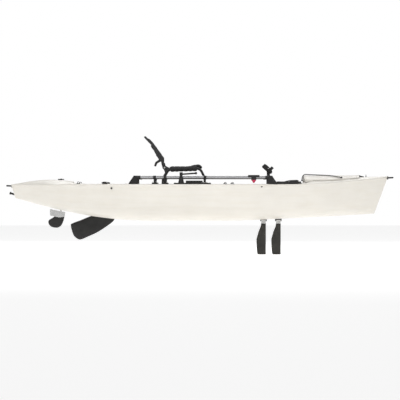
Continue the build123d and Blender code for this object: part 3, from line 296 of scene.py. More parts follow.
area_light("key", (-2.0, -5.0, 5.5), (0, 0, 0.2), (6.0, 3.0), 300)
area_light("fill", (4.5, -5.5, 2.2), (0.3, 0, 0.2), (4.0, 3.0), 90)
area_light("back", (0.5, 5.0, 4.5), (0, 0, 0.3), (6.0, 2.5), 200)
world = bpy.data.worlds.new("studio")
world.use_nodes = True
bpy.context.scene.world = world
sky = world.node_tree
soft = sky.nodes["Background"]
soft.inputs["Color"].default_value = (1, 1, 1, 1)
soft.inputs["Strength"].default_value = 0.42
backdrop = add(sky, "ShaderNodeBackground", Color=(1, 1, 1, 1), Strength=1.0)
path = add(sky, "ShaderNodeLightPath")
choose = add(sky, "ShaderNodeMixShader")
sky.links.new(path.outputs["Is Camera Ray"], choose.inputs[0])
sky.links.new(soft.outputs[0], choose.inputs[1])
sky.links.new(backdrop.outputs[0], choose.inputs[2])
sky.links.new(choose.outputs[0], sky.nodes["World Output"].inputs["Surface"])
bpy.context.scene.view_settings.view_transform = "Standard"


# ------------------------------------------------------------------ mesh helpers
def link(mesh, name, mat=None):
    obj = bpy.data.objects.new(name, mesh)
    bpy.context.scene.collection.objects.link(obj)
    if mat:
        mesh.materials.append(mat)
    return obj


def face_outward(mesh, weld=False):
    """Turns every face outward, once points in the same place are joined where asked."""
    work = bmesh.new()
    work.from_mesh(mesh)
    if weld:
        bmesh.ops.remove_doubles(work, verts=work.verts, dist=1e-6)
    bmesh.ops.recalc_face_normals(work, faces=work.faces)
    work.to_mesh(mesh)
    work.free()


def make_object(name, verts, faces, body, mat):
    """Smooth mesh from points and faces, riding on a body."""
    mesh = bpy.data.meshes.new(name)
    mesh.from_pydata([tuple(v) for v in verts], [], [tuple(int(i) for i in f) for f in faces])
    mesh.validate()
    obj = link(mesh, name, mat)
    mesh.polygons.foreach_set("use_smooth", [True] * len(mesh.polygons))
    face_outward(mesh)
    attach(obj, body)
    return obj


def grid_faces(rows, cols, close_cols=False):
    """Quads over a grid of rows x cols points, closed round its columns where asked."""
    faces = []
    for i in range(rows - 1):
        for j in range(cols if close_cols else cols - 1):
            a, b = i * cols + j, i * cols + (j + 1) % cols
            faces.append((a, b, b + cols, a + cols))
    return faces


def end_caps(rows, cols):
    """One face over each end of a closed grid."""
    return [tuple(range(cols)), tuple(reversed([(rows - 1) * cols + j for j in range(cols)]))]


def apply_modifier(obj, kind, **values):
    mod = obj.modifiers.new(kind.lower(), kind)
    for key, value in values.items():
        setattr(mod, key, value)
    bpy.context.view_layer.objects.active = obj
    with bpy.context.temp_override(object=obj, active_object=obj, selected_objects=[obj]):
        bpy.ops.object.modifier_apply(modifier=mod.name)


def smooth_by_angle(obj, angle):
    """Smooth shading, with a hard edge where two faces meet at more than an angle."""
    edges = bmesh.new()
    edges.from_mesh(obj.data)
    for face in edges.faces:
        face.smooth = True
    for edge in edges.edges:
        if len(edge.link_faces) == 2:
            edge.smooth = edge.calc_face_angle(0.0) < angle
    edges.to_mesh(obj.data)
    edges.free()


# ------------------------------------------------------------------ hull
# lines of the hull as in the CAD model: share f runs from -1 at the stern to 1 at the bow
HALF_LENGTH = 1.826
HALF_BEAM = 0.457
SHEER = 0.348
STATIONS = 430
LID_START = 1.010
SIDE_STEPS = 27
DECK_STEPS = 34
WELL_BLEND = 0.022
WELL_EDGE = 0.012
WELL_FILLET = 0.028
WELL_DRAFT = 0.004


def law_keel(x):
    f = x / HALF_LENGTH
    if f < -0.26:
        return 0.221 * ((-0.26 - f) / 0.74) ** 1.85
    if f > 0.18:
        return 0.070 * ((f - 0.18) / 0.82) ** 1.08
    return 0.0


def law_beam(x):
    f = x / HALF_LENGTH
    if f > -0.03:
        u = min((f + 0.03) / 1.03, 1.0)
        return 0.011 + (HALF_BEAM - 0.011) * (1 - u**2.2) ** 0.9
    u = (-0.03 - f) / 0.97
    return HALF_BEAM * (1 - 0.92 * u**2.4)


def law_sheer(x):
    start = 0.5 * HALF_LENGTH
    return SHEER if x < start else SHEER + 0.072 * ((x - start) / (HALF_LENGTH - start)) ** 1.3


def law_deck(x):
    f = x / HALF_LENGTH
    top = law_sheer(x) + 0.014
    if f < -0.6:
        hump = math.cos(math.pi / 2 * min(abs(f + 0.8) / 0.2, 1.0)) ** 1.2
        top = SHEER + 0.014 * (1 + f) / 0.4 + 0.004 + 0.038 * hump
    start = LID_START / HALF_LENGTH - 0.012
    step = min(max((f - start) / 0.06, 0.0), 1.0)
    fade = min(max((f - start) / (1 - start), 0.0), 1.0)
    return top + (0.060 * (1 - fade) - 0.004 * fade) * step * step * (3 - 2 * step)


def law_rake(x):
    f = x / HALF_LENGTH
    if f < -0.5:
        return -0.30 * ((-f - 0.5) / 0.5) ** 1.5
    if f > 0.6:
        return 0.37 * ((f - 0.6) / 0.4) ** 1.5
    return 0.0


def ease(t):
    t = min(max(t, 0.0), 1.0)
    return t * t * (3 - 2 * t)


# wells: outline corners (x, half width), where None follows the beam, then floor and corner radius
WELLS = (
    ((-0.650, 0.318), (0.360, 0.318), (0.700, 0.296), (0.985, 0.215), 0.135, 0.060),
    ((-1.225, 0.215), (-0.720, 0.262), 0.205, 0.050),
    ((1.055, None), (1.475, None), 0.170, 0.030),
)


def well_width(well, x):
    """Half width of a well at x, or None where there is no well; corners are rounded in plan."""
    corners, radius = well[:-2], well[-1]
    low, high = corners[0][0], corners[-1][0]
    if not low < x < high:
        return None
    if corners[0][1] is None:
        width = law_beam(x) - 0.055 - 0.022 * (high - x) / (high - low)
    else:
        width = float(np.interp(x, [c[0] for c in corners], [c[1] for c in corners]))
    for end in (low, high):
        gap = abs(x - end)
        if gap < radius:
            width -= radius - math.sqrt(radius**2 - (radius - gap) ** 2)
    return width


def well_profile(start, width, deck, floor):
    """Deck, rounded edge, wall, fillet and floor of a well: DECK_STEPS + 1 points in all."""
    top = deck(width)
    rim = [start + (width + WELL_EDGE - start) * i / 5 for i in range(6)]
    profile = [(y, deck(y)) for y in rim]
    for i in range(1, 7):
        turn = math.pi / 2 * i / 6
        drop = WELL_EDGE * (1 - math.cos(turn))
        profile.append((width + WELL_EDGE - WELL_EDGE * math.sin(turn), top - drop))
    height = floor + WELL_FILLET - top + WELL_EDGE
    for i in range(1, 8):
        profile.append((width - WELL_DRAFT * i / 7, top - WELL_EDGE + height * i / 7))
    wall = width - WELL_DRAFT
    for i in range(1, 8):
        turn = math.pi / 2 * i / 7
        inward = WELL_FILLET * (1 - math.cos(turn))
        profile.append((wall - inward, floor + WELL_FILLET - WELL_FILLET * math.sin(turn)))
    inner = wall - WELL_FILLET
    return profile + [(inner * (1 - i / 9), floor) for i in range(1, 10)]


def hull_section(x):
    """Points (y, z) from the keel to the deck's middle, always the same number of them."""
    half, keel, edge, crown = law_beam(x), law_keel(x) - 0.0015, law_sheer(x), law_deck(x)
    fullness = 1.7 + 1.5 * half / HALF_BEAM
    ridge = 0.009 * ease((x - 0.72) / 0.25) * ease((1.80 - x) / 0.25)
    chine = 0.030 + 0.080 * ease((x - 0.70) / 0.75)
    side = []
    for i in range(SIDE_STEPS):
        turn = math.pi / 2 * i / SIDE_STEPS
        y = half * math.sin(turn) ** (2 / fullness)
        z = edge - (edge - keel) * math.cos(turn) ** (2 / fullness)
        above = min(max((z - chine) / 0.004, -30.0), 30.0)
        side.append((y + ridge / (1 + math.exp(above)) * min(y / 0.05, 1.0), max(z, 0.0)))
    lip = min(0.011, half * 0.45)
    side += [(half, edge - 0.020), (half + 0.0035, edge - 0.015), (half + 0.0045, edge - 0.008)]
    side += [(half + 0.003, edge - 0.002), (half - 0.001, edge + 0.0015)]
    side.append((half - lip * 0.6, edge + 0.0032))
    rise = crown - edge
    radius = (half**2 + rise**2) / (2 * max(rise, 1e-4))

    def deck(y):
        return crown - radius + math.sqrt(max(radius**2 - min(y, half) ** 2, 0.0))

    start = half - lip
    plain = [start * (1 - i / DECK_STEPS) for i in range(DECK_STEPS + 1)]
    plain = [(y, deck(y)) for y in plain]
    for well in WELLS:
        width = well_width(well, x)
        if width is None or width > half - 0.02:
            continue
        floor, low, high = well[-2], well[0][0], well[-3][0]
        blend = ease((x - low) / WELL_BLEND) * ease((high - x) / WELL_BLEND)
        profile = well_profile(start, width, deck, floor)
        plain = [
            (p[0] + (q[0] - p[0]) * blend, p[1] + (q[1] - p[1]) * blend)
            for p, q in zip(plain, profile)
        ]
        break
    return side + plain


def hull_stations():
    places = set(np.linspace(-HALF_LENGTH, HALF_LENGTH, STATIONS))
    for well in WELLS:
        for x in (well[0][0], well[-3][0]):
            places |= set(x + np.linspace(-0.03, 0.03, 25))
    places |= set(np.linspace(LID_START - 0.03, LID_START + 0.1, 14))
    return sorted(places)


def build_hull():
    xs = hull_stations()
    rows = []
    for x in xs:
        half = hull_section(x)
        tilt, edge = law_rake(x), law_sheer(x)
        ring = [(x + tilt * (z - edge), y, z) for y, z in half]
        ring += [(px, -py, pz) for px, py, pz in reversed(ring[1:-1])]
        rows.append(ring)
    cols = len(rows[0])
    verts = [p for ring in rows for p in ring]
    faces = grid_faces(len(rows), cols, close_cols=True) + end_caps(len(rows), cols)
    return make_object("hull_shell", verts, faces, "hull", HULL)


def prism(ring, lows, highs):
    """Cutting tool between two copies of a ring of points."""
    n = len(ring)
    faces = [tuple(range(n)), tuple(reversed(range(n, 2 * n)))]
    faces += [(i, i + n, (i + 1) % n + n, (i + 1) % n) for i in range(n)]
    mesh = bpy.data.meshes.new("cut")
    mesh.from_pydata(lows + highs, [], faces)
    return link(mesh, "cut")


def outline_cutter(points, low, high, radius, axis="Z"):
    """Prism over a rounded outline: (x, y) between two heights, or (x, z) between two widths."""
    ring = []
    count = len(points)
    for i in range(count):
        here = Vector(points[i])
        before = Vector(points[i - 1]) - here
        after = Vector(points[(i + 1) % count]) - here
        reach = min(radius, before.length * 0.45, after.length * 0.45)
        a, b = here + before.normalized() * reach, here + after.normalized() * reach
        for k in range(7):
            t = k / 6
            ring.append(a * (1 - t) ** 2 + here * 2 * t * (1 - t) + b * t * t)
    if axis == "Z":
        return prism(ring, [(p.x, p.y, low) for p in ring], [(p.x, p.y, high) for p in ring])
    return prism(ring, [(p.x, low, p.y) for p in ring], [(p.x, high, p.y) for p in ring])


def round_cutter(start, end, radius):
    """Round bar between two points."""
    start, end = Vector(start), Vector(end)
    turn = (end - start).to_track_quat("Z", "Y")
    angles = np.linspace(0, 2 * math.pi, 40, False)
    ring = [turn @ Vector((radius * math.cos(a), radius * math.sin(a), 0)) for a in angles]
    return prism(ring, [tuple(start + p) for p in ring], [tuple(end + p) for p in ring])


def rod_axis(side):
    """Top and bottom of a flush rod holder's socket."""
    top = Vector((-0.909, side * (law_beam(-0.909) - 0.042), SHEER + 0.006))
    lean = math.radians(18.0)
    down = Vector((0, -side * math.sin(lean), -math.cos(lean)))
    return top - down * 0.03, top + down * 0.205


def hull_cutters():
    """Drive well, skeg slot, rudder bore, cart and drain bores, rod holders and floor hatch."""
    drive = [(0.563, 0.036), (0.823, 0.036), (0.823, -0.036), (0.563, -0.036)]
    skeg = [(-1.290, -0.06), (-0.760, -0.06), (-0.760, 0.096), (-1.290, 0.172)]
    hatch = [(0.130, 0.105), (0.400, 0.105), (0.400, -0.105), (0.130, -0.105)]
    cuts = [outline_cutter(drive, -0.06, 0.30, 0.018)]
    cuts.append(outline_cutter(skeg, -0.0075, 0.0075, 0.014, "Y"))
    cuts.append(round_cutter((-1.345, 0, -0.02), (-1.345, 0, 0.6), 0.013))
    for side in (-1, 1):
        for x, y, top, radius in (
            (-0.250, 0.175, 0.2, 0.019), (0.420, 0.205, 0.2, 0.013), (-0.960, 0.150, 0.3, 0.013)
        ):
            cuts.append(round_cutter((x, side * y, -0.03), (x, side * y, top), radius))
        cuts.append(round_cutter(*rod_axis(side), 0.024))
    cuts.append(outline_cutter(hatch, 0.04, 0.30, 0.02))
    return cuts


def cut_hull(hull):
    for tool in hull_cutters():
        mod = hull.modifiers.new("cut", "BOOLEAN")
        mod.operation = "DIFFERENCE"
        mod.solver = "EXACT"
        mod.object = tool
        with bpy.context.temp_override(object=hull, active_object=hull):
            bpy.ops.object.modifier_apply(modifier=mod.name)
        bpy.data.objects.remove(tool)
    smooth_by_angle(hull, 0.7)


hull = build_hull()
cut_hull(hull)
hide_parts("hull")


# ------------------------------------------------------------------ soft goods
def slab(name, centre, rows, cols, thick, mat):
    """Closed pad over a grid.

    centre(u, v) gives a point and the surface's normal, thick(u, v) half the thickness.
    """
    top, bottom = [], []
    for i in range(rows):
        for j in range(cols):
            u, v = i / (rows - 1), j / (cols - 1)
            point, normal = centre(u, v)
            half = thick(u, v)
            top.append(point + normal * half)
            bottom.append(point - normal * half)
    faces = grid_faces(rows, cols)
    count = rows * cols
    faces += [tuple(reversed([k + count for k in f])) for f in grid_faces(rows, cols)]
    rim = list(range(cols)) + [i * cols + cols - 1 for i in range(1, rows)]
    rim += [(rows - 1) * cols + j for j in range(cols - 2, -1, -1)]
    rim += [i * cols for i in range(rows - 2, 0, -1)]
    for a, b in zip(rim, rim[1:] + rim[:1]):
        faces.append((a, a + count, b + count, b))
    mesh = bpy.data.meshes.new(name)
    mesh.from_pydata([tuple(p) for p in top + bottom], [], faces)
    face_outward(mesh)
    return link(mesh, name, mat)


def read_points(obj):
    co = np.empty(len(obj.data.vertices) * 3)
    obj.data.vertices.foreach_get("co", co)
    return co.reshape(-1, 3)


def write_points(obj, co):
    obj.data.vertices.foreach_set("co", co.ravel())
    obj.data.update()


def read_normals(obj):
    normals = np.empty(len(obj.data.vertices) * 3)
    obj.data.vertices.foreach_get("normal", normals)
    return normals.reshape(-1, 3)


CLOTH_FRAMES = 20
CLOTH_PRESSURE = 4.0
PAD_VOXEL = 0.0045


def inflate(obj, cap):
    """Fills a pad like a stuffed cushion with a short cloth simulation; cap limits the swelling."""
    apply_modifier(obj, "REMESH", mode="VOXEL", voxel_size=PAD_VOXEL)
    start = read_points(obj)
    cloth = obj.modifiers.new("cloth", "CLOTH")
    cloth.settings.use_pressure = True
    cloth.settings.uniform_pressure_force = CLOTH_PRESSURE
    cloth.settings.effector_weights.gravity = 0.0
    cloth.point_cache.frame_start = 1
    cloth.point_cache.frame_end = CLOTH_FRAMES
    for number in range(1, CLOTH_FRAMES + 1):
        bpy.context.scene.frame_set(number)
    shape = obj.evaluated_get(bpy.context.evaluated_depsgraph_get()).to_mesh()
    moved = np.empty(len(shape.vertices) * 3)
    shape.vertices.foreach_get("co", moved)
    obj.modifiers.remove(cloth)
    step = moved.reshape(-1, 3) - start
    far = np.linalg.norm(step, axis=1, keepdims=True)
    write_points(obj, start + step * np.minimum(1.0, cap / np.maximum(far, 1e-9)))
    bpy.context.scene.frame_set(1)
    apply_modifier(obj, "SMOOTH", factor=0.5, iterations=3)
    apply_modifier(obj, "SUBSURF", levels=1)
    obj.data.polygons.foreach_set("use_smooth", [True] * len(obj.data.polygons))


def sew(obj, depth_at):
    """Presses seams and channels into a pad: depth_at(points) gives each point's depth."""
    co = read_points(obj)
    write_points(obj, co - read_normals(obj) * depth_at(co)[:, None])


def groove(distance, width, depth):
    return depth * np.exp(-((distance / width) ** 2))


def tube_along(name, points, radius, mat, body):
    """Round bead along points, for piping, cords and wires."""
    curve = bpy.data.curves.new(name, "CURVE")
    curve.dimensions = "3D"
    curve.bevel_depth = radius
    curve.bevel_resolution = 3
    curve.resolution_u = 6
    spline = curve.splines.new("NURBS")
    spline.points.add(len(points) - 1)
    for point, place in zip(spline.points, points):
        point.co = (*place, 1.0)
    spline.order_u = 3
    spline.use_endpoint_u = True
    obj = link(curve, name, mat)
    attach(obj, body)
    return obj


def build_seat_pad():
    low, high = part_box("seat_pad")
    x0, x1 = low.x + 0.004, high.x - 0.006
    half_width = high.y - 0.006
    span = x1 - x0
    base = low.z + 0.0095

    def rise(share):
        """Height of the seat's top line over its base: flat, then a roll at the front."""
        shares, heights = (0.0, 0.55, 0.72, 0.9, 1.0), (0.0, 0.0, 0.008, 0.011, -0.004)
        return float(np.interp(share, shares, heights))

    def centre(u, v):
        sag = 0.003 * (1 - (2 * v - 1) ** 2)
        z = base + 0.001 + rise(u) - sag
        return Vector((x0 + span * u, half_width * (2 * v - 1), z)), Vector((0, 0, 1))

    def thick(u, v):
        edge = min(u / 0.06, (1 - u) / 0.05, v / 0.05, (1 - v) / 0.05, 1.0)
        full = 0.0035 + 0.0080 * ease((u - 0.6) / 0.25)
        return full * (0.45 + 0.55 * math.sqrt(max(edge, 0.0)))

    pad = slab("seat_cushion", centre, 46, 54, thick, PAD_MESH)
    inflate(pad, 0.005)
    seams = [x0 + span * share for share in (0.16, 0.32, 0.48, 0.64, 0.80)]

    def channels(co):
        depth = np.zeros(len(co))
        for x in seams:
            depth += groove(co[:, 0] - x, 0.004, 0.0026)
        for y in (-0.085, 0.085):
            depth += groove(co[:, 1] - y, 0.004, 0.0022) * (co[:, 0] < x0 + span * 0.8)
        ends = np.minimum(co[:, 0] - x0, x1 - co[:, 0])
        inside = np.minimum(half_width - np.abs(co[:, 1]), ends)
        depth += groove(inside - 0.014, 0.0035, 0.0016)
        return depth

    sew(pad, channels)
    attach(pad, "hull")
    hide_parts("seat_pad")
    for name, side in reversed(SIDES):
        line = [(x0 + span * t, side * (half_width + 0.001), base + rise(t))
                for t in (0.0, 0.2, 0.4, 0.6, 0.75, 0.9, 0.98)]
        bead = tube_along(f"seat_piping_{name}", line, 0.0026, WEBBING, "hull")


def build_sleeves():
    """Quilted sleeves of the seat's mesh round its side tubes."""
    rows, cols = 150, 28
    for name, side in SIDES:
        verts = []
        for i in range(rows):
            t = i / (rows - 1)
            x = -0.286 + 0.262 * t
            z = 0.4995 + 0.0075 * t
            end = math.sqrt(max(0.0, min(1.0, t / 0.02, (1 - t) / 0.02)))
            quilt = 0.0030 * abs(math.sin(math.pi * t * 6.0)) ** 0.6
            radius = 0.0118 + (0.0022 + quilt) * end
            for j in range(cols):
                angle = 2 * math.pi * j / cols
                drop = 1.0 + 0.45 * max(0.0, -math.sin(angle)) * end
                y = side * 0.215 + radius * math.cos(angle)
                verts.append((x, y, z + radius * math.sin(angle) * drop))
        faces = grid_faces(rows, cols, close_cols=True) + end_caps(rows, cols)
        sleeve = make_object(f"seat_sleeve_{name}", verts, faces, "hull", WING_MESH)


def back_line(share):
    """Point on the backrest's curved line; share runs from the pivot to the top."""
    x0, z0, x1, z1 = -0.338, 0.512, -0.524, 0.806
    dx, dz = x1 - x0, z1 - z0
    length = math.hypot(dx, dz)
    bow = 0.026 * math.sin(math.pi * share)
    x = x0 + dx * share + bow * dz / length
    return Vector((x, 0, z0 + dz * share - bow * dx / length))


def build_seat_back():
    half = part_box("seat_back_mesh")[1].y
    forward = Vector((0.294, 0, 0.186)).normalized()

    def outline(u):
        return half * (1.0 if u < 0.8 else 1.0 - 0.3 * ((u - 0.8) / 0.2) ** 2)

    def centre(u, v):
        dish = 0.004 * math.cos(math.pi * (v - 0.5))
        point = back_line(0.18 + 0.735 * u) - forward * dish
        point.y = outline(u) * (2 * v - 1) * 0.985
        return point, forward

    mesh = slab("seat_back_panel", centre, 60, 70, lambda u, v: 0.0018, SEAT_MESH)
    mesh.data.polygons.foreach_set("use_smooth", [True] * len(mesh.data.polygons))
    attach(mesh, "seat_back")
    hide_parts("seat_back_mesh")

    def lumbar_centre(u, v):
        point = back_line(0.24 + 0.26 * u) - forward * 0.0045
        point.y = half * 0.8 * (2 * v - 1)
        return point + forward * 0.0035, forward

    def lumbar_thick(u, v):
        edge = min(u / 0.2, (1 - u) / 0.2, v / 0.1, (1 - v) / 0.1, 1.0)
        return 0.002 + 0.0042 * math.sqrt(max(edge, 0.0))

    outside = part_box("seat_back_frame")[1].y + 0.0085
    shares = (0.0, 0.12, 0.3, 0.5, 0.75, 0.93, 1.0)
    rear = (-0.006, -0.026, -0.035, -0.031, -0.015, -0.010, -0.002)
    front = (0.016, 0.031, 0.025, 0.020, 0.022, 0.021, 0.008)
    for name, side in SIDES:
        def wing_centre(u, v):
            back = float(np.interp(u, shares, rear))
            fore = float(np.interp(u, shares, front))
            point = back_line(0.15 + 0.80 * u) + forward * (back + (fore - back) * v)
            point.y = side * outside
            return point, Vector((0, 1, 0))

        def wing_thick(u, v):
            edge = min(u / 0.05, (1 - u) / 0.05, v / 0.2, (1 - v) / 0.2, 1.0)
            return 0.0020 + 0.0020 * math.sqrt(max(edge, 0.0))

        wing = slab(f"back_wing_{name}", wing_centre, 60, 16, wing_thick, WING_MESH)
        inflate(wing, 0.004)
        marks = [back_line(0.15 + 0.80 * t).z for t in (0.3, 0.5, 0.7)]
        sew(wing, lambda co: sum(groove(co[:, 2] - z, 0.0035, 0.002) for z in marks))
        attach(wing, "seat_back")
    pad = slab("lumbar_pad", lumbar_centre, 30, 60, lumbar_thick, LUMBAR_MESH)
    inflate(pad, 0.005)
    edges = [half * 0.8 * t for t in (-0.6, -0.2, 0.2, 0.6)]
    sew(pad, lambda co: sum(groove(co[:, 1] - y, 0.004, 0.0022) for y in edges))
    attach(pad, "seat_back")
    binding = []
    for t in np.linspace(0, 1, 12):
        p, _ = centre(0.02 + 0.96 * t, 0.0)
        binding.append(tuple(p + Vector((0, 0.003, 0))))
    for t in np.linspace(0.06, 0.94, 8):
        p, _ = centre(0.985, t)
        binding.append(tuple(p))
    for t in np.linspace(1, 0, 12):
        p, _ = centre(0.02 + 0.96 * t, 1.0)
        binding.append(tuple(p - Vector((0, 0.003, 0))))
    edge = tube_along("seat_back_binding", binding, 0.0032, WEBBING, "seat_back")
    profile = [(0.0, 0.0), (0.022, 0.0), (0.026, 0.004), (0.026, 0.016), (0.021, 0.021),
               (0.0, 0.022)]
    knob = turned("lumbar_knob", profile, BLACK, flutes=10)
    knob.matrix_world = place_on(back_line(0.66) - forward * 0.004, -forward)
    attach(knob, "seat_back")


def place_on(point, direction):
    matrix = Vector(direction).normalized().to_track_quat("Z", "Y").to_matrix().to_4x4()
    matrix.translation = point
    return matrix


def turned(name, profile, mat, flutes):
    """Fluted knob: (radius, height) points swept round the Z axis."""
    count = 40
    verts = []
    for radius, height in profile:
        for k in range(count):
            angle = 2 * math.pi * k / count
            reach = radius * (1 - 0.05 * (1 + math.cos(flutes * angle)))
            verts.append((reach * math.cos(angle), reach * math.sin(angle), height))
    mesh = bpy.data.meshes.new(name)
    mesh.from_pydata(verts, [], grid_faces(len(profile), count, close_cols=True))
    face_outward(mesh, weld=True)
    obj = link(mesh, name, mat)
    smooth_by_angle(obj, 0.6)
    return obj


def strap_band(name, points, normals, width, thick, body, across):
    """Flat webbing: a strip of a width along points, with rounded edges."""
    section = []
    count = 12
    for k in range(count):
        angle = 2 * math.pi * k / count
        a, b = math.cos(angle), math.sin(angle)
        section.append((math.copysign(abs(a) ** 0.35, a) * width / 2, b * thick / 2))
    verts = []
    for point, normal in zip(points, normals):
        for s, t in section:
            verts.append(tuple(point + across * s + normal * t))
    faces = grid_faces(len(points), count, close_cols=True) + end_caps(len(points), count)
    return make_object(name, verts, faces, body, WEBBING)


# a pedal's middle at rest, and its directions along the tread and out of it
PEDAL_X, PEDAL_Z = 0.663, 0.5045
PEDAL_TILT = math.radians(41.0)
PEDAL_ALONG = Vector((math.cos(PEDAL_TILT), 0, -math.sin(PEDAL_TILT)))
PEDAL_UP = Vector((math.sin(PEDAL_TILT), 0, math.cos(PEDAL_TILT)))


def build_foot_straps():
    turn, up = PEDAL_ALONG, PEDAL_UP
    for name, _ in SIDES:
        low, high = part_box(f"foot_strap_{name}")
        origin = Vector((PEDAL_X, (low.y + high.y) / 2, PEDAL_Z)) + turn * 0.026
        points, normals = [], []
        for k in range(49):
            angle = math.pi * k / 48
            normal = Vector((0, math.cos(angle), 0)) + up * math.sin(angle)
            points.append(origin + normal * 0.0436 - up * 0.0045)
            normals.append(normal)
        body = f"pedal_{name}"
        band = strap_band(f"foot_webbing_{name}", points, normals, 0.026, 0.0026, body, turn)
        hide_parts(f"foot_strap_{name}")
        for number, shift in enumerate((-0.016, 0.016)):
            place = origin + up * 0.0405 + turn * shift
            ends = [tuple(place + Vector((0, y, 0))) for y in (-0.011, 0, 0.011)]
            bar = tube_along(f"strap_buckle_{name}_{number}", ends, 0.0022, BLACK, body)


# ------------------------------------------------------------------ blades and fins
def smooth_outline(points, per=8):
    """Closed Catmull-Rom line through points."""
    out = []
    n = len(points)
    for i in range(n):
        p = [Vector(points[(i + k - 1) % n]) for k in range(4)]
        for j in range(per):
            t = j / per
            a = p[1] * 2
            b = (p[2] - p[0]) * t
            c = (p[0] * 2 - p[1] * 5 + p[2] * 4 - p[3]) * t * t
            d = (p[1] * 3 - p[0] - p[2] * 3 + p[3]) * t**3
            out.append((a + b + c + d) * 0.5)
    return out


def foil(name, outline, thick, body):
    """Blade over a closed outline in X and Z: full in the middle, thin and round at its edges."""
    ring = smooth_outline(outline)
    middle = sum(ring, Vector((0, 0))) / len(ring)
    # (share of the way in from the outline, share of the thickness)
    levels = [(0.0, 0.16), (0.012, 0.42), (0.035, 0.60), (0.09, 0.74), (0.2, 0.87), (0.35, 0.95),
              (0.55, 0.99), (0.78, 1.0)]
    verts, faces = [], []
    n = len(ring)
    for side in (1, -1):
        for inset, share in levels:
            for p in ring:
                q = p + (middle - p) * inset
                verts.append((q.x, side * thick / 2 * share, q.y))
    per_side = len(levels) * n
    for s in (0, 1):
        offset = s * per_side
        for i in range(len(levels) - 1):
            for j in range(n):
                a, b = offset + i * n + j, offset + i * n + (j + 1) % n
                faces.append((a, b, b + n, a + n))
        centre_index = len(verts)
        verts.append((middle.x, (1 - 2 * s) * thick / 2, middle.y))
        last = offset + (len(levels) - 1) * n
        faces += [(last + j, last + (j + 1) % n, centre_index) for j in range(n)]
    faces += [(j, (j + 1) % n, per_side + (j + 1) % n, per_side + j) for j in range(n)]
    return make_object(name, verts, faces, body, BLADE)


def build_blades():
    """Rudder and skeg, from their pivots' places and their outlines in the photo."""
    px, pz = -1.333, 0.052
    shifts = [(0.021, -0.004), (0.018, -0.03), (0.011, -0.056), (-0.006, -0.094), (-0.026, -0.112),
              (-0.052, -0.121), (-0.098, -0.115), (-0.124, -0.096), (-0.135, -0.07),
              (-0.128, -0.046), (-0.088, -0.021), (-0.046, 0.008), (-0.012, 0.0185),
              (0.012, 0.0165)]
    outline = [(px + x, pz + z) for x, z in shifts]
    rudder = foil("rudder_foil", outline, 0.012, "rudder_blade")
    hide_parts("rudder_blade")
    px, pz = -0.836, 0.060
    outline = [(px + 0.022, pz + 0.004), (px + 0.014, pz - 0.03), (px - 0.004, pz - 0.068),
               (-0.915, -0.065), (-0.993, -0.114), (-1.075, -0.152), (-1.150, -0.183),
               (-1.186, -0.176), (-1.220, -0.146), (-1.240, -0.095), (-1.250, -0.045),
               (-1.236, -0.027), (-1.150, 0.006), (-1.060, 0.042), (-0.960, 0.062),
               (px - 0.022, pz + 0.021), (px + 0.006, pz + 0.019)]
    skeg = foil("skeg_foil", outline, 0.012, "skeg")
    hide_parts("skeg_blade")


def build_fin(name):
    """Flexible fin: thick leading edge on its mast, tapering aft, with raised battens."""
    low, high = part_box(f"fin_{name}")
    lead, root, tip = high.x, high.z, low.z
    span = root - tip
    rows, cols = 66, 30
    shares = [0.0, 0.04, 0.1, 0.25, 0.5, 0.75, 0.9, 0.97, 1.0]
    chords = [0.046, 0.047, 0.051, 0.070, 0.0915, 0.0905, 0.0865, 0.083, 0.074]
    verts = []
    for i in range(rows):
        t = i / (rows - 1)
        chord = float(np.interp(t, shares, chords))
        cap = math.sqrt(max(0.0, 1 - ((t - 0.985) / 0.015) ** 2)) if t > 0.985 else 1.0
        cap *= math.sqrt(max(0.05, 1 - ((0.012 - t) / 0.012) ** 2)) if t < 0.012 else 1.0
        z = root - span * t
        batten = 0.0
        for place in (0.22, 0.4, 0.58, 0.76):
            batten += math.exp(-(((t - place) / 0.011) ** 2))
        for j in range(cols):
            angle = 2 * math.pi * j / cols
            along = (1 - math.cos(angle)) / 2
            nose = min(1.0, math.sqrt(max(along, 0.0) * 9))
            half = 0.0076 * (0.30 + 0.70 * (1 - along) ** 0.8) * nose
            if along > 0.96:
                half *= math.sqrt(max(0.0, (1 - along) / 0.04))
            if 0.22 < along < 0.86:
                half += 0.0007 * batten
                half -= 0.0006 * math.exp(-(((along - 0.26) / 0.03) ** 2))
            y = math.copysign(half * cap, math.sin(angle))
            verts.append((lead - chord * along, y, z))
    faces = grid_faces(rows, cols, close_cols=True) + end_caps(rows, cols)
    fin = make_object(f"fin_blade_{name}", verts, faces, f"fin_{name}", FIN)
    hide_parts(f"fin_{name}")


# ------------------------------------------------------------------ bow cord
def build_bow_cord():
    """Elastic cord each side of the hatch, on its solid's route from the toggle to the hook."""
    for name, side in SIDES:
        route = [(x, side * y, z) for x, y, z in bow_route()]
        cord = tube_along(f"bow_cord_{name}", route, 0.004, BRAID, "bow_lid")
        length = curve_length(cord)
        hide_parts("bow_cord")
        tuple(route[0])


def curve_length(obj):
    """Length of a curve object, measured along a copy with no thickness."""
    curve = obj.data.copy()
    curve.bevel_depth = 0.0
    probe = link(curve, "probe")
    thin = probe.evaluated_get(bpy.context.evaluated_depsgraph_get())
    mesh = bpy.data.meshes.new_from_object(thin)
    co = np.array([v.co for v in mesh.vertices])
    bpy.data.objects.remove(probe)
    return float(np.linalg.norm(np.diff(co, axis=0), axis=1).sum())


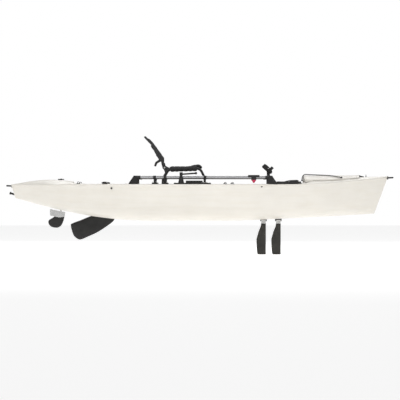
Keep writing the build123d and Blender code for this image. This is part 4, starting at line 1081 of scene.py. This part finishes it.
def bow_route():
    """Points (x, y, z) of the port route, laid on the lid, whose top follows the hull's lines."""
    lid_shift, lid_lift = 0.095, 0.0156

    def top(x, y):
        station = x + lid_shift
        half, rise = law_beam(station), law_deck(station) - law_sheer(station)
        radius = (half**2 + rise**2) / (2 * rise)
        crown = law_deck(station) - radius
        return crown + math.sqrt(radius**2 - min(abs(y), half) ** 2) + lid_lift

    x0 = LID_START
    places = [(x0 + 0.060, 0.026), (x0 + 0.150, 0.060), (x0 + 0.240, 0.100), (x0 + 0.300, 0.135),
              (x0 + 0.350, 0.168)]
    rear = [(x0 - 0.016, 0.016, top(x0, 0) - 0.044), (x0 - 0.013, 0.018, top(x0, 0) + 0.013)]
    return rear + [(x, y, top(x, y) + 0.008) for x, y in places]


build_seat_pad()
build_sleeves()
build_seat_back()
build_foot_straps()
build_blades()
build_fin("aft")
build_fin("front")
build_bow_cord()


# ------------------------------------------------------------------ small fittings
def screw_field(name, places, radius, body, mat):
    """Domed screw heads with hexagonal sockets, in one mesh, at (point, direction) pairs."""
    profile = [(0.0, -0.25), (0.30, -0.25), (0.36, 0.42), (0.48, 0.60), (0.78, 0.50), (0.97, 0.2),
               (1.0, -0.1)]
    verts, faces = [], []
    count = 24
    for point, direction in places:
        turn = Vector(direction).to_track_quat("Z", "Y")
        base = len(verts)
        for r, h in profile:
            for k in range(count):
                angle = 2 * math.pi * k / count
                reach = r * radius
                if 0 < r < 0.45:
                    reach *= 1.0 / math.cos((angle % (math.pi / 3)) - math.pi / 6) * 0.9
                local = Vector((reach * math.cos(angle), reach * math.sin(angle), h * radius))
                verts.append(tuple(Vector(point) + turn @ local))
        for i in range(len(profile) - 1):
            for k in range(count):
                a, b = base + i * count + k, base + i * count + (k + 1) % count
                faces.append((a, b, b + count, a + count))
        faces.append(tuple(base + (len(profile) - 1) * count + k for k in range(count)))
    obj = make_object(name, verts, faces, body, mat)
    smooth_by_angle(obj, 0.5)


def build_screws():
    places = []
    up = (0, 0, 1)
    low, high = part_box("rail_end_brackets")
    for side in (-1, 1):
        for x in (low.x + 0.022, high.x - 0.022):
            places.append(((x, side * 0.393, 0.3675), up))
        for x in (-0.449, -0.411, -0.349, -0.311, 0.033, 0.071):
            places.append(((x, side * 0.385, 0.3722), up))
    console_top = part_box("dash_console")[0].z + 0.066 + 0.022
    for side in (-1, 1):
        for x, y in ((0.765, 0.265), (0.86, 0.235), (0.955, 0.19)):
            places.append(((x, side * y, console_top + 0.0006), up))
    base_low, base_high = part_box("steering_pedestal")
    for x in (base_high.x - 0.012, base_high.x - 0.060, base_low.x + 0.012):
        places.append(((x, -0.417, base_low.z + 0.0136), up))
    screw_field("deck_screws", places, 0.0048, "hull", STEEL)


def build_tread(name):
    """Raised treads across a pedal's face, and a cheek plate on each of its sides."""
    along, up = PEDAL_ALONG, PEDAL_UP
    low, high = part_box(f"pedal_{name}")
    middle = Vector((PEDAL_X, (low.y + high.y) / 2, PEDAL_Z))
    verts, faces = [], []
    for step in range(-4, 6):
        centre = middle + along * (0.0085 * step + 0.0075) - up * 0.0094
        base = len(verts)
        for y in (-0.034, -0.031, 0.031, 0.034):
            squeeze = 0.4 if abs(y) > 0.033 else 1.0
            shoulder, crest = 0.0012 * squeeze, 0.0019 * squeeze
            for s, t in ((-0.0022, -0.0008), (-0.0019, shoulder), (0.0, crest),
                         (0.0019, shoulder), (0.0022, -0.0008)):
                verts.append(tuple(centre + along * s + up * t + Vector((0, y, 0))))
        for i in range(3):
            for j in range(5):
                a, b = base + i * 5 + j, base + i * 5 + (j + 1) % 5
                faces.append((a, b, b + 5, a + 5))
        faces.append(tuple(base + j for j in range(5)))
        faces.append(tuple(base + 15 + j for j in reversed(range(5))))
    cheek = [(-0.053, -0.021), (-0.02, -0.0245), (0.03, -0.0235), (0.054, -0.019), (0.0555, -0.006),
             (0.046, 0.006), (0.020, 0.0125), (-0.012, 0.0165), (-0.040, 0.0155), (-0.054, 0.004)]
    ring = smooth_outline(cheek, 5)
    levels = ((0.0, 0.0022), (0.93, 0.0022), (1.0, 0.0012), (1.0, -0.0012), (0.93, -0.0022),
              (0.0, -0.0022))
    body = f"pedal_{name}"
    for number, y in enumerate((low.y + 0.0024, high.y - 0.0024)):
        side_verts = []
        for share, offset in levels:
            for p in ring:
                flat = along * (p.x * share) + up * (p.y * share - 0.002 * (1 - share))
                side_verts.append(tuple(middle + flat + Vector((0, y - middle.y + offset, 0))))
        side_faces = grid_faces(len(levels), len(ring), close_cols=True)
        plate = make_object(f"pedal_cheek_{name}_{number}", side_verts, side_faces, body, BLACK)
        apply_modifier(plate, "WELD", merge_threshold=0.00001)
        smooth_by_angle(plate, 0.5)
    tread = make_object(f"pedal_tread_{name}", verts, faces, body, RUBBER)


build_screws()
build_tread("port")
build_tread("starboard")


# ------------------------------------------------------------------ materials of other nodes
NODE_MATERIALS = {
    "end_handles": BLACK, "side_rails": RAIL, "rail_posts": BLACK, "rail_end_brackets": BLACK,
    "steering_pedestal": BLACK, "gunwale_eyes": BLACK, "side_plugs": DARK, "rod_holders": BLACK,
    "dash_console": DARK, "floor_hatch_frame": DARK, "floor_pads": FOAM, "hatch_gasket": RUBBER,
    "hatch_hinge": BLACK, "lid_hinge_pins": STEEL, "rudder_bushes": BLACK, "skeg_pin": STEEL,
    "seat_clips": BLACK, "seat_frame": TUBE, "seat_pad": PAD_MESH, "seat_hinge_pins": STEEL,
    "drive_housing": DARK, "drive_chains": STEEL, "drum_axles": STEEL, "latch_pins": STEEL,
    "drain_plug": BLACK, "rail_clamp": BLACK, "clamp_screw": CRIMSON, "steering_handle": BLACK,
    "steering_drum": BLACK, "rudder_stock": STEEL, "rudder_drum": BLACK, "rudder_pin": STEEL,
    "rudder_blade": BLADE, "skeg_blade": BLADE, "seat_back_frame": TUBE,
    "seat_back_mesh": SEAT_MESH, "recline_lever": BLACK, "crank_shaft": STEEL,
    "crank_arm_port": TUBE, "crank_arm_starboard": TUBE, "pedal_pin_port": STEEL,
    "pedal_pin_starboard": STEEL, "pedal_port": BLACK, "pedal_starboard": BLACK,
    "foot_strap_port": WEBBING, "foot_strap_starboard": WEBBING, "fin_drum_aft": SILVER,
    "fin_drum_front": SILVER, "fin_mast_aft": STEEL, "fin_mast_front": STEEL, "fin_aft": FIN,
    "fin_front": FIN, "drive_latch_port": BLACK, "drive_latch_starboard": BLACK,
    "bow_hatch_lid": LIDGREY, "bow_cord": BRAID, "bow_cord_ends": BLACK, "dash_lid": DARK,
    "floor_hatch_lid": DARK,
}
for node_name, node_material in NODE_MATERIALS.items():
    node = NODES[node_name]
    node.data.materials.clear()
    node.data.materials.append(node_material)


# ------------------------------------------------------------------ sizes and end
def plain(box):
    return [[float(v) for v in corner] for corner in box]


{"cad": plain(CAD_BOX), "visual": plain(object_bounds())}
